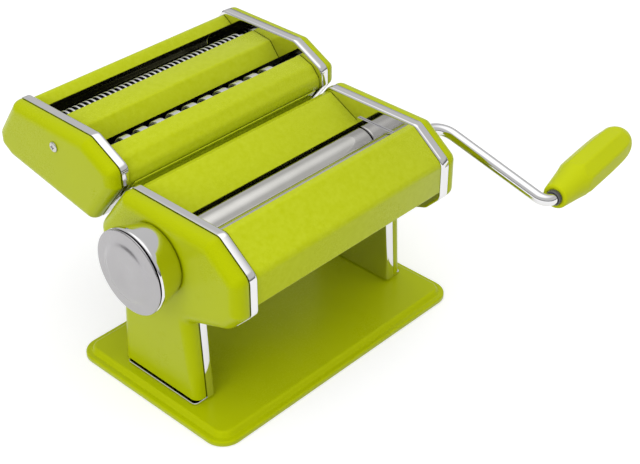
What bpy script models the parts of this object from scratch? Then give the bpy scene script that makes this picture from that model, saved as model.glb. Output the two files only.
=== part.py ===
"""Hand-cranked pasta machine with a lift-off cutter attachment.

Units are metres and +Z is up. X runs along the rollers, towards the crank; +Y is the back, where the
cutter attachment hangs; the machine stands on z = 0. Every size below can be changed by itself.
"""
from math import acos, asin, atan2, cos, hypot, pi, radians, sin, sqrt, tan

import bmesh
import bpy
from mathutils import Matrix, Vector

# General fits
GAP = 0.0003
PLATE_SHEET = 0.0012
PANEL_SHEET = 0.0010
FLANGE_WIDTH = 0.0060
FLANGE_BEND = 0.0010
COVER_WALL = 0.0012
COVER_PLAY = 0.0004
PANEL_INSET = 0.0012

# Base tray
BASE_LENGTH = 0.2068
BASE_DEPTH = 0.1304
BASE_TOP = 0.0070
BASE_SHEET = 0.0010
BASE_CORNER = 0.0150
BASE_CLEARANCE = 0.0009
LEDGE_HEIGHT = 0.0038
LEDGE_WIDTH = 0.0044
STEP_WIDTH = 0.0052
FOOT_RADIUS = 0.0070
FOOT_INSET = 0.0200

# Machine body, side view: y and z of the octagon and its leg
INNER_WIDTH = 0.1560
COVER_DEPTH = 0.0160
COVER_EDGE = 0.0090
BODY_TOP = 0.1338
BODY_FRONT = -0.0725
BODY_REAR = 0.0452
TOP_FRONT_Y = -0.0496
TOP_REAR_Y = 0.0225
SHOULDER_FRONT_Z = 0.1160
SHOULDER_REAR_Z = 0.1040
CHIN_Z = 0.0908
JAW_Z = 0.0785
JAW_SET_BACK = 0.0120
LEG_TOP_Z = 0.0670
LEG_FRONT_Y = -0.0290
LEG_REAR_Y = 0.0300
LEG_SLOPE_FRONT = 0.054
LEG_SLOPE_REAR = 0.084
CORNER_RADIUS = 0.0060
SMALL_CORNER = 0.0040
FOOT_CORNER = 0.0020

# Rollers
ROLLER_RADIUS = 0.0120
ROLLER_END_GAP = 0.0025
ROLLER_LENGTH = INNER_WIDTH - 2 * ROLLER_END_GAP
ROLLER_CHAMFER = 0.0010
REAR_AXIS_Y = -0.0085
REAR_AXIS_Z = 0.1046
NIP_GAP = 0.0006
NIP_TILT = radians(10.3)
JOURNAL_RADIUS = 0.0050
BUSH_WALL = 0.0025
BUSH_FLANGE = 0.0020
CARRIER_TRAVEL = 0.0022
CARRIER_THICKNESS = 0.0020
CARRIER_HALF_WIDTH = 0.0095
CARRIER_HALF_HEIGHT = 0.0130
YOKE_WALL = 0.0022
YOKE_PLAY = 0.0006
ROLLER_TEETH = 16
GEAR_WIDTH = 0.0060
ROOT_SHARE = 0.31
TIP_SHARE = 0.10
GEAR_START = 0.0030

# Crank
ROD_RADIUS = 0.0040
SOCKET_BORE = 0.0042
SOCKET_WALL = 0.0022
SOCKET_DEPTH = 0.0105
CRANK_REACH = 0.0451
CRANK_ARM = 0.0869
CRANK_DROOP = radians(19.0)
CRANK_LEAN = radians(5.6)
ELBOW_RADIUS = 0.0140
WRIST_RADIUS = 0.0080
GRIP_START = 0.0100
GRIP_LENGTH = 0.0860
GRIP_RADIUS = 0.0118
GRIP_NECK_RADIUS = 0.0078
GRIP_BORE = 0.0043
GRIP_SPINDLE_SHARE = 0.60
SLEEVE_LENGTH = 0.0022
SLEEVE_WALL = 0.0018
GRIP_FLUTES = 8
GRIP_FLUTE_DEPTH = 0.035

# Thickness knob
KNOB_GAP = 0.0010
KNOB_RADIUS = 0.0264
KNOB_WAIST = 0.0220
KNOB_DEPTH = 0.0208
KNOB_WALL = 0.0016
KNOB_PULL = 0.0040
FACE_RADIUS = 0.0249
FACE_CROWN = 0.0018
FACE_RECESS = 0.0012
KNOB_WELL = 0.0075
HEAD_THICKNESS = 0.0015
SPINDLE_RADIUS = 0.0040
CAM_RADIUS = 0.0065
CAM_WIDTH = 0.0022
SPRING_WIRE = 0.0004
SPRING_TURNS = 4

# Panels of the body
LIP_Y = -0.0446
LIP_Z = 0.1330
LIP_DROP = 0.0035
FRONT_PANEL_LOW_Z = 0.0948
REAR_PANEL_LOW_Y = -0.0029
REAR_PANEL_LOW_Z = 0.1192
REAR_CREST_Y = 0.0198
REAR_CREST_Z = 0.1310

# Rods and scrapers
ROD_BODY_RADIUS = 0.0030
STUD_RADIUS = 0.0020
NUT_RADIUS = 0.0038
NUT_THICKNESS = 0.0022
SCRAPER_SHEET = 0.0005
TIE_RODS = {"front_low": (-0.0540, 0.0900), "rear_low": (0.0110, 0.0840), "front_top": (-0.0550, 0.1190)}

# Cutter attachment, side view
CUTTER_INNER = 0.1580
CUTTER_COVER_DEPTH = 0.0145
CUTTER_EDGE = 0.0080
CUTTER_TOP = BODY_TOP + 0.0212
CUTTER_TOP_FRONT_Y = 0.0530
CUTTER_TOP_REAR_Y = 0.1200
CUTTER_FRONT_Y = 0.0290
CUTTER_FRONT_Z = BODY_TOP + 0.0087
CUTTER_REAR_Y = 0.1382
CUTTER_REAR_HIGH_Z = BODY_TOP - 0.0048
CUTTER_REAR_LOW_Z = BODY_TOP - 0.0148
CUTTER_TAIL_Y = 0.1280
CUTTER_TAIL_Z = BODY_TOP - 0.0215
CUTTER_BOTTOM_SLOPE = 0.1764
BACK_PANEL_EDGE = (0.1115, BODY_TOP + 0.0136)
ROOF_REAR_EDGE = (0.0905, BODY_TOP + 0.0162)
ROOF_BREAK = (0.0748, BODY_TOP + 0.0143)
ROOF_FRONT_EDGE = (0.0677, BODY_TOP + 0.0052)
FRONT_BROW_EDGE = (0.0480, BODY_TOP + 0.0132)
FRONT_BROW = (0.0372, BODY_TOP + 0.0096)
NOSE_SET_BACK = 0.0008
NOSE_RISE = 0.0060
NEST_GAP = 0.0030
COVER_SCREW_Y = 0.0797
COVER_SCREW_Z = BODY_TOP + 0.0067
SCREW_HEAD_RADIUS = 0.0032

# Cutters
CUTTER_RADIUS = 0.0085
CUTTER_CORE = 0.0065
CUTTER_END_GAP = 0.0040
CUTTER_LENGTH = CUTTER_INNER - 2 * CUTTER_END_GAP
FINE_PITCH = 0.0040
WIDE_PITCH = 0.0130
RING_PLAY = 0.0003
FINE_SIDES = 7
WIDE_SIDES = 9
FINE_AXIS = (0.0950, BODY_TOP + 0.0064)
WIDE_AXIS = (0.0520, BODY_TOP + 0.0024)
PAIR_ANGLE = radians(-30.0)
CUTTER_JOURNAL = 0.0036
CUTTER_TEETH = 12
CUTTER_SOCKET_DEPTH = 0.0070
CUTTER_GEAR_WIDTH = 0.0050
BUSH_BLOCK = 0.0020
BUSH_BLOCK_RIM = 0.0024
COMB_SHEET = 0.0015
COMB_DEPTH = 0.0060
COMB_CLEARANCE = 0.0015
HANGER_SHEET = 0.0007
HOOK_LENGTH = INNER_WIDTH - 0.0060
HOOK_REACH = 0.0060
RAIL_TOP = 0.0040
RAIL_FLOOR = -0.0080
RAIL_LIP = -0.0030

# Derived places
HALF_INNER = INNER_WIDTH / 2
COVER_FACE = HALF_INNER + COVER_DEPTH
CUTTER_HALF = CUTTER_INNER / 2
CUTTER_FACE = CUTTER_HALF + CUTTER_COVER_DEPTH
ROLLER_SPACING = 2 * ROLLER_RADIUS + NIP_GAP
REAR_AXIS = (REAR_AXIS_Y, REAR_AXIS_Z)
FRONT_AXIS = (REAR_AXIS_Y - ROLLER_SPACING * cos(NIP_TILT), REAR_AXIS_Z + ROLLER_SPACING * sin(NIP_TILT))
PAIR_SPACING = CUTTER_RADIUS + CUTTER_CORE + GAP
CAM_OFFSET = CARRIER_TRAVEL / 2
PAIR_STEP = (PAIR_SPACING * cos(PAIR_ANGLE), PAIR_SPACING * sin(PAIR_ANGLE))
KNOB_BACK = COVER_FACE + KNOB_GAP
SLOPE_ANGLE = atan2(BODY_TOP - SHOULDER_REAR_Z, BODY_REAR - TOP_REAR_Y)

# Finishes: colour, roughness, metallic
GREEN_PAINT = ("green_paint", (0.50, 0.56, 0.010), 0.25, 0.0)
CHROME = ("chrome", (0.86, 0.86, 0.87), 0.08, 1.0)
SATIN_STEEL = ("satin_steel", (0.62, 0.62, 0.60), 0.32, 1.0)
DARK_STEEL = ("dark_steel", (0.10, 0.10, 0.10), 0.45, 1.0)
NYLON = ("nylon", (0.80, 0.79, 0.75), 0.45, 0.0)
BLACK_PLASTIC = ("black_plastic", (0.02, 0.02, 0.02), 0.45, 0.0)
GREEN_PLASTIC = ("green_plastic", (0.52, 0.60, 0.015), 0.35, 0.0)
RUBBER = ("rubber", (0.03, 0.03, 0.03), 0.80, 0.0)


# Helpers: scene, materials and placing

def clear_scene():
    for obj in list(bpy.data.objects):
        bpy.data.objects.remove(obj, do_unlink=True)


def finish_material(finish):
    name, colour, roughness, metallic = finish
    material = bpy.data.materials.get(name) or bpy.data.materials.new(name)
    material.use_nodes = True
    shader = material.node_tree.nodes["Principled BSDF"]
    shader.inputs["Base Color"].default_value = (*colour, 1.0)
    shader.inputs["Roughness"].default_value = roughness
    shader.inputs["Metallic"].default_value = metallic
    return material


def pivot(name, position, parent=None):
    """An empty on a joint's axis, which carries the pieces that turn or slide there."""
    empty = bpy.data.objects.new(name, None)
    bpy.context.scene.collection.objects.link(empty)
    empty.parent = parent
    empty.location = Vector(position) - (world_place(parent) if parent else Vector())
    return empty


def world_place(empty):
    place = Vector()
    while empty:
        place += empty.location
        empty = empty.parent
    return place


def add_piece(name, bm, finish, carrier, smooth_angle=35.0):
    """Turns a mesh drawn in machine coordinates into an object under its carrier."""
    bmesh.ops.recalc_face_normals(bm, faces=bm.faces)
    mesh = bpy.data.meshes.new(name)
    bm.to_mesh(mesh)
    bm.free()
    mesh.transform(Matrix.Translation(-world_place(carrier)))
    mesh.shade_smooth()
    mesh.set_sharp_from_angle(angle=radians(smooth_angle))
    mesh.materials.append(finish_material(finish))
    obj = bpy.data.objects.new(name, mesh)
    bpy.context.scene.collection.objects.link(obj)
    obj.parent = carrier
    return obj


def add_cutter(name, bm, carrier):
    """A hidden solid that a Boolean takes away from its neighbour."""
    cutter = add_piece(name, bm, DARK_STEEL, carrier)
    cutter.hide_render = True
    cutter.display_type = "WIRE"
    return cutter


def cut(obj, cutter):
    boolean = obj.modifiers.new(cutter.name, "BOOLEAN")
    boolean.operation = "DIFFERENCE"
    boolean.solver = "EXACT"
    boolean.object = cutter


# Helpers: outlines in the side view, as (y, z) points

def fillet(corner, before, after, radius, steps):
    """Points of the arc that rounds one corner between its neighbours."""
    p = Vector(corner)
    u = (Vector(before) - p).normalized()
    v = (Vector(after) - p).normalized()
    half = acos(max(-1.0, min(1.0, u.dot(v)))) / 2
    if half > pi / 2 - 1e-4 or steps == 0:
        return [p]
    reach = min(radius / tan(half), (Vector(before) - p).length * 0.48, (Vector(after) - p).length * 0.48)
    radius = reach * tan(half)
    centre = p + (u + v).normalized() * (radius / sin(half))
    start = p + u * reach - centre
    turn = pi - 2 * half
    side = 1.0 if u.x * v.y - u.y * v.x < 0 else -1.0
    points = []
    for i in range(steps + 1):
        angle = side * turn * i / steps
        across = Vector((-start.y, start.x))
        points.append(centre + start * cos(angle) + across * sin(angle))
    return points


def inset_corners(corners, inset):
    """The corners of a counter-clockwise outline, moved inward by inset."""
    moved = []
    count = len(corners)
    for i in range(count):
        a, b, c = (Vector(corners[(i + k) % count][:2]) for k in (-1, 0, 1))
        d1 = (b - a).normalized()
        d2 = (c - b).normalized()
        n1 = Vector((-d1.y, d1.x))
        n2 = Vector((-d2.y, d2.x))
        reach = inset / (1 + n1.dot(n2))
        moved.append(b + (n1 + n2) * reach)
    return moved


def rounded_outline(corners, inset=0.0, steps=2):
    """A closed outline with a fillet at each (y, z, radius) corner, at a given inset.

    Corners under SMALL_CORNER get one step, so that every inset has as many points.
    """
    moved = inset_corners(corners, inset)
    count = len(corners)
    points = []
    for i in range(count):
        a, b, c = (Vector(corners[(i + k) % count][:2]) for k in (-1, 0, 1))
        d1, d2 = b - a, c - b
        convex = d1.x * d2.y - d1.y * d2.x > 0
        radius = corners[i][2] - inset if convex else corners[i][2] + inset
        radius = max(radius, 0.0004)
        own_steps = 1 if corners[i][2] < SMALL_CORNER else steps
        points += fillet(moved[i], moved[i - 1], moved[(i + 1) % count], radius, own_steps)
    return points


def rounded_path(corners, steps=3):
    """An open path with a fillet at each inner (y, z, radius) corner."""
    points = [Vector(corners[0][:2])]
    for before, corner, after in zip(corners, corners[1:], corners[2:]):
        points += fillet(corner[:2], before[:2], after[:2], corner[2], steps)
    points.append(Vector(corners[-1][:2]))
    return points


# Helpers: solids

def loop_of(bm, points):
    return [bm.verts.new(point) for point in points]


def bridge(bm, first, second):
    count = len(first)
    for i in range(count):
        j = (i + 1) % count
        bm.faces.new((first[i], first[j], second[j], second[i]))


def lofted(loops, closed=False):
    """A solid through equal loops of points, capped at both ends or joined into a ring."""
    bm = bmesh.new()
    rings = [loop_of(bm, loop) for loop in loops]
    for first, second in zip(rings, rings[1:]):
        bridge(bm, first, second)
    if closed:
        bridge(bm, rings[-1], rings[0])
    else:
        bm.faces.new(rings[0])
        bm.faces.new(rings[-1])
    return bm


def side_loop(outline, x):
    return [(x, point.x, point.y) for point in outline]


def extruded(outline, x_from, x_to):
    """A side-view outline drawn out along X."""
    return lofted([side_loop(outline, x_from), side_loop(outline, x_to)])


def bent_sheet(path, thickness, half_width):
    """A sheet folded along X: the path is its outer face and the thickness goes to its left."""
    offset = []
    last = len(path) - 1
    for i, point in enumerate(path):
        d1 = (path[i] - path[i - 1]).normalized() if i > 0 else (path[1] - path[0]).normalized()
        d2 = (path[i + 1] - path[i]).normalized() if i < last else d1
        n1 = Vector((-d1.y, d1.x))
        n2 = Vector((-d2.y, d2.x))
        offset.append(point + (n1 + n2) * (thickness / (1 + n1.dot(n2))))
    return extruded(path + offset[::-1], -half_width, half_width)


def turned(profile, sides, axis=(0.0, 0.0), ring=False):
    """A profile of (x, radius) points turned about a line along X through axis (y, z).

    A radius may be a function of the angle, where a station isn't round.
    """
    bm = bmesh.new()
    loops = []
    for x, radius in profile:
        if radius == 0.0:
            loops.append([bm.verts.new((x, axis[0], axis[1]))])
            continue
        loop = []
        for k in range(sides):
            angle = 2 * pi * k / sides
            r = radius(angle) if callable(radius) else radius
            loop.append(bm.verts.new((x, axis[0] + r * cos(angle), axis[1] + r * sin(angle))))
        loops.append(loop)
    pairs = list(zip(loops, loops[1:]))
    if ring:
        pairs.append((loops[-1], loops[0]))
    for first, second in pairs:
        if len(first) == 1 or len(second) == 1:
            pole, loop = (first[0], second) if len(first) == 1 else (second[0], first)
            for k in range(sides):
                bm.faces.new((pole, loop[k], loop[(k + 1) % sides]))
        else:
            bridge(bm, first, second)
    if not ring and len(loops[0]) > 1:
        bm.faces.new(loops[0])
    if not ring and len(loops[-1]) > 1:
        bm.faces.new(loops[-1])
    return bm


def block(half_width, half_height):
    """Radius of a rectangle's outline."""
    def radius(angle):
        across = max(abs(cos(angle)), 1e-6)
        up = max(abs(sin(angle)), 1e-6)
        return min(half_width / across, half_height / up)
    return radius


def off_centre(radius, offset, direction):
    """Radius of a circle whose centre lies off the axis, as a cam's does."""
    return lambda angle: (offset * cos(angle - direction)
                          + sqrt(radius ** 2 - (offset * sin(angle - direction)) ** 2))


def box(low, high):
    bm = bmesh.new()
    bmesh.ops.create_cube(bm, size=1.0)
    size = Vector(high) - Vector(low)
    bmesh.ops.scale(bm, vec=size, verts=bm.verts)
    bmesh.ops.translate(bm, vec=(Vector(high) + Vector(low)) / 2, verts=bm.verts)
    return bm


def swept(path, radius, sides, plane_normal):
    """A round rod along a flat path of 3-D points."""
    normal = Vector(plane_normal).normalized()
    rings = []
    for i, point in enumerate(path):
        before = path[max(i - 1, 0)]
        after = path[min(i + 1, len(path) - 1)]
        across = (after - before).normalized().cross(normal)
        ring = []
        for k in range(sides):
            angle = 2 * pi * k / sides
            ring.append(point + across * (radius * cos(angle)) + normal * (radius * sin(angle)))
        rings.append(ring)
    return lofted(rings)


def gear_outline(teeth, spacing, axis, facing, tooth_at_facing):
    """Straight-sided teeth; the pitch circle is half the spacing to the mating gear."""
    pitch = spacing / 2
    module = 2 * pitch / teeth
    root = pitch - 1.25 * module
    tip = pitch + module
    step = 2 * pi / teeth
    start = facing if tooth_at_facing else facing + step / 2
    points = []
    for k in range(teeth):
        centre = start + k * step
        for radius, share in ((root, -ROOT_SHARE), (tip, -TIP_SHARE), (tip, TIP_SHARE), (root, ROOT_SHARE)):
            angle = centre + share * step
            points.append(Vector((axis[0] + radius * cos(angle), axis[1] + radius * sin(angle))))
    return points


# Base

def base_loop(inset, z):
    half_x, half_y = BASE_LENGTH / 2 - inset, BASE_DEPTH / 2 - inset
    radius = max(BASE_CORNER - inset, 0.001)
    corners = [(-half_x, -half_y, radius), (half_x, -half_y, radius),
               (half_x, half_y, radius), (-half_x, half_y, radius)]
    return [(p.x, p.y, z) for p in rounded_outline(corners, 0.0, 3)]


def make_base(root):
    """A pressed tray: turned-down rim, narrow ledge, rounded step up to the flat top."""
    rise = BASE_TOP - LEDGE_HEIGHT
    step = LEDGE_WIDTH
    end = LEDGE_WIDTH + STEP_WIDTH
    under = LEDGE_HEIGHT - BASE_SHEET
    outer = [(0.0, BASE_CLEARANCE), (0.0, LEDGE_HEIGHT - 0.0011), (0.0010, LEDGE_HEIGHT),
             (step, LEDGE_HEIGHT),
             (step + 0.35 * STEP_WIDTH, LEDGE_HEIGHT + 0.45 * rise),
             (step + 0.68 * STEP_WIDTH, LEDGE_HEIGHT + 0.90 * rise), (end, BASE_TOP)]
    inner = [(BASE_SHEET, BASE_CLEARANCE), (BASE_SHEET, under), (step + 0.6 * BASE_SHEET, under),
             (step + 0.52 * STEP_WIDTH + 0.8 * BASE_SHEET, under + 0.62 * rise),
             (end + 0.2 * BASE_SHEET, BASE_TOP - BASE_SHEET)]
    loops = [base_loop(*point) for point in outer[::-1]] + [base_loop(*point) for point in inner]
    add_piece("base_plate", lofted(loops), GREEN_PAINT, root)


def upright(profile, x, y, sides):
    """A round piece standing on a vertical line, from (z, radius) points."""
    loops = []
    for z, radius in profile:
        angles = [2 * pi * k / sides for k in range(sides)]
        loops.append([(x + radius * cos(angle), y + radius * sin(angle), z) for angle in angles])
    return lofted(loops)


def make_feet(root):
    top = BASE_TOP - BASE_SHEET - GAP
    profile = [(0.0, FOOT_RADIUS - 0.0006), (0.0006, FOOT_RADIUS), (top, FOOT_RADIUS + 0.0005)]
    for sx, side in ((-1, "left"), (1, "right")):
        for sy, end in ((-1, "front"), (1, "rear")):
            x = sx * (BASE_LENGTH / 2 - FOOT_INSET)
            y = sy * (BASE_DEPTH / 2 - FOOT_INSET)
            add_piece(f"rubber_foot_{end}_{side}", upright(profile, x, y, 10), RUBBER, root)


# Side outlines

def body_corners(foot_z):
    return [(TOP_FRONT_Y, BODY_TOP, CORNER_RADIUS),
            (BODY_FRONT, SHOULDER_FRONT_Z, CORNER_RADIUS + 0.002),
            (BODY_FRONT, CHIN_Z, CORNER_RADIUS),
            (BODY_FRONT + JAW_SET_BACK, JAW_Z, CORNER_RADIUS),
            (LEG_FRONT_Y, LEG_TOP_Z, CORNER_RADIUS * 0.6),
            (LEG_FRONT_Y - LEG_SLOPE_FRONT * (LEG_TOP_Z - foot_z), foot_z, FOOT_CORNER),
            (LEG_REAR_Y + LEG_SLOPE_REAR * (LEG_TOP_Z - foot_z), foot_z, FOOT_CORNER),
            (LEG_REAR_Y, LEG_TOP_Z, CORNER_RADIUS * 0.6),
            (BODY_REAR - 0.75 * JAW_SET_BACK, JAW_Z, CORNER_RADIUS),
            (BODY_REAR, CHIN_Z, CORNER_RADIUS),
            (BODY_REAR, SHOULDER_REAR_Z, CORNER_RADIUS + 0.002),
            (TOP_REAR_Y, BODY_TOP, CORNER_RADIUS)]


def nest_line(z):
    """Where the attachment's front lower side runs, beside the body's rear slope."""
    along = (BODY_REAR - TOP_REAR_Y) / (BODY_TOP - SHOULDER_REAR_Z)
    return TOP_REAR_Y + along * (BODY_TOP - z) + NEST_GAP / sin(SLOPE_ANGLE)


def cutter_corners():
    along = (BODY_REAR - TOP_REAR_Y) / (BODY_TOP - SHOULDER_REAR_Z)
    start = nest_line(CUTTER_TAIL_Z) - CUTTER_TAIL_Y
    heel_z = CUTTER_TAIL_Z + CUTTER_BOTTOM_SLOPE * start / (1 + CUTTER_BOTTOM_SLOPE * along)
    nose_z = BODY_TOP - (CUTTER_FRONT_Y - TOP_REAR_Y - NEST_GAP / sin(SLOPE_ANGLE)) / along
    return [(CUTTER_TOP_FRONT_Y, CUTTER_TOP, CORNER_RADIUS),
            (CUTTER_FRONT_Y, CUTTER_FRONT_Z, CORNER_RADIUS),
            (CUTTER_FRONT_Y, nose_z, CORNER_RADIUS * 0.6),
            (nest_line(heel_z), heel_z, CORNER_RADIUS),
            (CUTTER_TAIL_Y, CUTTER_TAIL_Z, CORNER_RADIUS),
            (CUTTER_REAR_Y, CUTTER_REAR_LOW_Z, CORNER_RADIUS),
            (CUTTER_REAR_Y, CUTTER_REAR_HIGH_Z, CORNER_RADIUS),
            (CUTTER_TOP_REAR_Y, CUTTER_TOP, CORNER_RADIUS)]


# Side plates and covers, shared by the body and the attachment

def side_plate(name, side, corners, inner, carrier):
    """A bright tray: flat inner face, its edge folded outward into a narrow flange."""
    rim = inner + FLANGE_WIDTH
    stations = [(FLANGE_BEND, inner), (0.0, inner + FLANGE_BEND), (0.0, rim), (PLATE_SHEET, rim),
                (PLATE_SHEET, inner + PLATE_SHEET)]
    loops = [side_loop(rounded_outline(corners, inset), side * x) for inset, x in stations]
    return add_piece(name, lofted(loops), CHROME, carrier)


def side_cover(name, side, corners, inner, face, edge, carrier):
    """A pressed shell, open towards the plate, with softly rounded edges."""
    seat = PLATE_SHEET + COVER_PLAY
    start = inner + PLATE_SHEET + COVER_PLAY * 2
    outer = [(seat, start), (seat, face - edge)]
    for k in range(1, 4):
        angle = pi / 2 * k / 3
        outer.append((seat + edge * (1 - cos(angle)), face - edge + edge * sin(angle)))
    under = seat + COVER_WALL
    small = edge - COVER_WALL
    inside = [(under, start), (under, face - edge)]
    for angle in (pi / 4, pi / 2):
        inside.append((under + small * (1 - cos(angle)), face - edge + small * sin(angle)))
    stations = outer[::-1] + inside
    loops = [side_loop(rounded_outline(corners, inset), side * x) for inset, x in stations]
    return add_piece(name, lofted(loops), GREEN_PAINT, carrier, 50.0)


def x_hole(name, x_from, x_to, centre, radius, carrier, sides=14):
    """A hole along X whose flats, not its corners, keep the given radius."""
    corner = radius / cos(pi / sides)
    return add_cutter(name, turned([(x_from, corner), (x_to, corner)], sides, centre), carrier)


def make_body_sides(root):
    plate_corners = body_corners(BASE_TOP + GAP)
    cover_corners = body_corners(-COVER_EDGE)
    for side, label in ((-1, "left"), (1, "right")):
        plate = side_plate(f"side_plate_{label}", side, plate_corners, HALF_INNER, root)
        cover = side_cover(f"side_cover_{label}", side, cover_corners, HALF_INNER, COVER_FACE, COVER_EDGE,
                           root)
        reach = side * (COVER_FACE + 0.010)
        near = side * (HALF_INNER - 0.005)
        beside_plate = side * (HALF_INNER + FLANGE_WIDTH + GAP)
        low_y, high_y = BODY_FRONT - 0.02, BODY_REAR + 0.02
        ground = box((min(near, reach), low_y, -0.02), (max(near, reach), high_y, BASE_TOP + GAP))
        cut(cover, add_cutter(f"cover_ground_{label}", ground, root))
        sill_top = BASE_TOP + FOOT_CORNER + 2 * GAP
        sill = box((min(near, beside_plate), low_y, -0.02), (max(near, beside_plate), high_y, sill_top))
        cut(cover, add_cutter(f"cover_sill_{label}", sill, root))
        wall = side * (HALF_INNER + PLATE_SHEET * 2)
        bush = x_hole(f"front_bush_seat_{label}", near, wall, FRONT_AXIS, bush_radius() + GAP, root)
        cut(plate, bush)
        middle = slide_point(CARRIER_TRAVEL / 2)
        slot_radius = JOURNAL_RADIUS + CARRIER_TRAVEL / 2 + 2 * GAP
        cut(plate, x_hole(f"rear_journal_slot_{label}", near, wall, middle, slot_radius, root))
        for rod, centre in TIE_RODS.items():
            cut(plate, x_hole(f"{rod}_hole_{label}", near, wall, centre, STUD_RADIUS + GAP, root, 6))
        face_in, face_out = side * (COVER_FACE - 0.006), side * (COVER_FACE + 0.003)
        if side > 0:
            hole = x_hole("crank_hole", face_in, face_out, FRONT_AXIS, socket_radius() + 2 * GAP, root)
        else:
            hole = x_hole("spindle_hole", face_in, face_out, knob_axis(), SPINDLE_RADIUS + GAP, root, 16)
        cut(cover, hole)


def slide_point(travel):
    """The adjustable roller's centre after the carriers have moved back by travel."""
    return (REAR_AXIS_Y + travel, REAR_AXIS_Z)


def knob_axis():
    """The knob's fixed axis, where the roller's centre is at half travel."""
    return slide_point(CARRIER_TRAVEL / 2)


# Panels of the body

def make_body_panels(root):
    half = HALF_INNER - GAP
    corners = body_corners(BASE_TOP)
    inset = inset_corners(corners, PANEL_INSET)
    top_front, shoulder_front = inset[0], inset[1]
    shoulder_rear, chin_rear, jaw_rear = inset[10], inset[9], inset[8]
    lip = [(LIP_Y, LIP_Z - LIP_DROP, 0.0), (LIP_Y, LIP_Z, 0.0008), (top_front.x, LIP_Z, 0.0030),
           (shoulder_front.x, shoulder_front.y, 0.0060), (shoulder_front.x, FRONT_PANEL_LOW_Z, 0.0012),
           (shoulder_front.x + 0.0060, FRONT_PANEL_LOW_Z - 0.0010, 0.0)]
    path = rounded_path(lip)
    add_piece("front_panel", bent_sheet(path, PANEL_SHEET, half), GREEN_PAINT, root)
    fold_z = REAR_CREST_Z - 0.0015
    along = (shoulder_rear.x - inset[11].x) / (inset[11].y - shoulder_rear.y)
    fold_y = inset[11].x + along * (inset[11].y - fold_z)
    crest = [(jaw_rear.x, jaw_rear.y, 0.0), (chin_rear.x, chin_rear.y, 0.0040),
             (shoulder_rear.x, shoulder_rear.y, 0.0050), (fold_y, fold_z, 0.0010),
             (REAR_CREST_Y, REAR_CREST_Z, 0.0015), (REAR_PANEL_LOW_Y, REAR_PANEL_LOW_Z, 0.0)]
    add_piece("rear_panel", bent_sheet(rounded_path(crest), PANEL_SHEET, half), GREEN_PAINT, root)


# Rods, nuts and scrapers

def make_rod(name, centre, inner, carrier):
    """A tie rod with shouldered ends that pass through the plates, and a hexagon nut run on at each end."""
    shoulder = inner - GAP
    near = inner + PLATE_SHEET + GAP
    far = near + NUT_THICKNESS
    half = [(shoulder, ROD_BODY_RADIUS), (shoulder, STUD_RADIUS), (near, STUD_RADIUS),
            (near, NUT_RADIUS), (far, NUT_RADIUS)]
    profile = [(-x, radius) for x, radius in half[::-1]] + half
    add_piece(name, turned(profile, 6, centre), SATIN_STEEL, carrier, 65.0)


def tangent_point(outside, centre, radius, side):
    """Where a line from an outside point touches a circle."""
    away = Vector(outside) - Vector(centre)
    distance = away.length
    angle = atan2(away.y, away.x) + side * acos(radius / distance)
    return Vector(centre) + Vector((cos(angle), sin(angle))) * radius


def make_scrapers(root):
    """Spring strips that rest on the lower tie rods and wipe the underside of each roller."""
    scrapers = (("front_scraper", "front_low", FRONT_AXIS, 1), ("rear_scraper", "rear_low", REAR_AXIS, -1))
    for name, rod, axis, side in scrapers:
        y, z = TIE_RODS[rod]
        seat = Vector((y, z + ROD_BODY_RADIUS + GAP + SCRAPER_SHEET))
        tip = tangent_point(seat, axis, ROLLER_RADIUS + 1.5 * GAP, side)
        beyond = seat + (seat - tip).normalized() * 0.003
        path = [tip, beyond] if side > 0 else [beyond, tip]
        add_piece(name, bent_sheet(path, SCRAPER_SHEET, ROLLER_LENGTH / 2), SATIN_STEEL, root)


# Rollers, bushes, carriers and gears

def bush_radius():
    return JOURNAL_RADIUS + BUSH_WALL


def socket_radius():
    return SOCKET_BORE + SOCKET_WALL


def socket_end():
    return COVER_FACE - COVER_WALL - 0.0010


def gear_start():
    return HALF_INNER + PLATE_SHEET + GEAR_START


def make_front_roller(turning):
    """Fixed roller; its right journal widens into the socket that takes the crank."""
    half = ROLLER_LENGTH / 2
    end = socket_end()
    neck = HALF_INNER + PLATE_SHEET + BUSH_FLANGE
    profile = [(-neck, JOURNAL_RADIUS), (-half, JOURNAL_RADIUS), (-half, ROLLER_RADIUS - ROLLER_CHAMFER),
               (-half + ROLLER_CHAMFER, ROLLER_RADIUS), (half - ROLLER_CHAMFER, ROLLER_RADIUS),
               (half, ROLLER_RADIUS - ROLLER_CHAMFER), (half, JOURNAL_RADIUS), (neck, JOURNAL_RADIUS),
               (neck, socket_radius()), (end, socket_radius()), (end, SOCKET_BORE),
               (end - SOCKET_DEPTH, SOCKET_BORE)]
    add_piece("front_roller", turned(profile, 20, FRONT_AXIS), SATIN_STEEL, turning)


def make_rear_roller(turning):
    half = ROLLER_LENGTH / 2
    left = HALF_INNER + PLATE_SHEET + GAP + CARRIER_THICKNESS
    right = gear_start() + GEAR_WIDTH
    profile = [(-left, JOURNAL_RADIUS), (-half, JOURNAL_RADIUS), (-half, ROLLER_RADIUS - ROLLER_CHAMFER),
               (-half + ROLLER_CHAMFER, ROLLER_RADIUS), (half - ROLLER_CHAMFER, ROLLER_RADIUS),
               (half, ROLLER_RADIUS - ROLLER_CHAMFER), (half, JOURNAL_RADIUS), (right, JOURNAL_RADIUS)]
    add_piece("rear_roller", turned(profile, 20, REAR_AXIS), SATIN_STEEL, turning)


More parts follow.
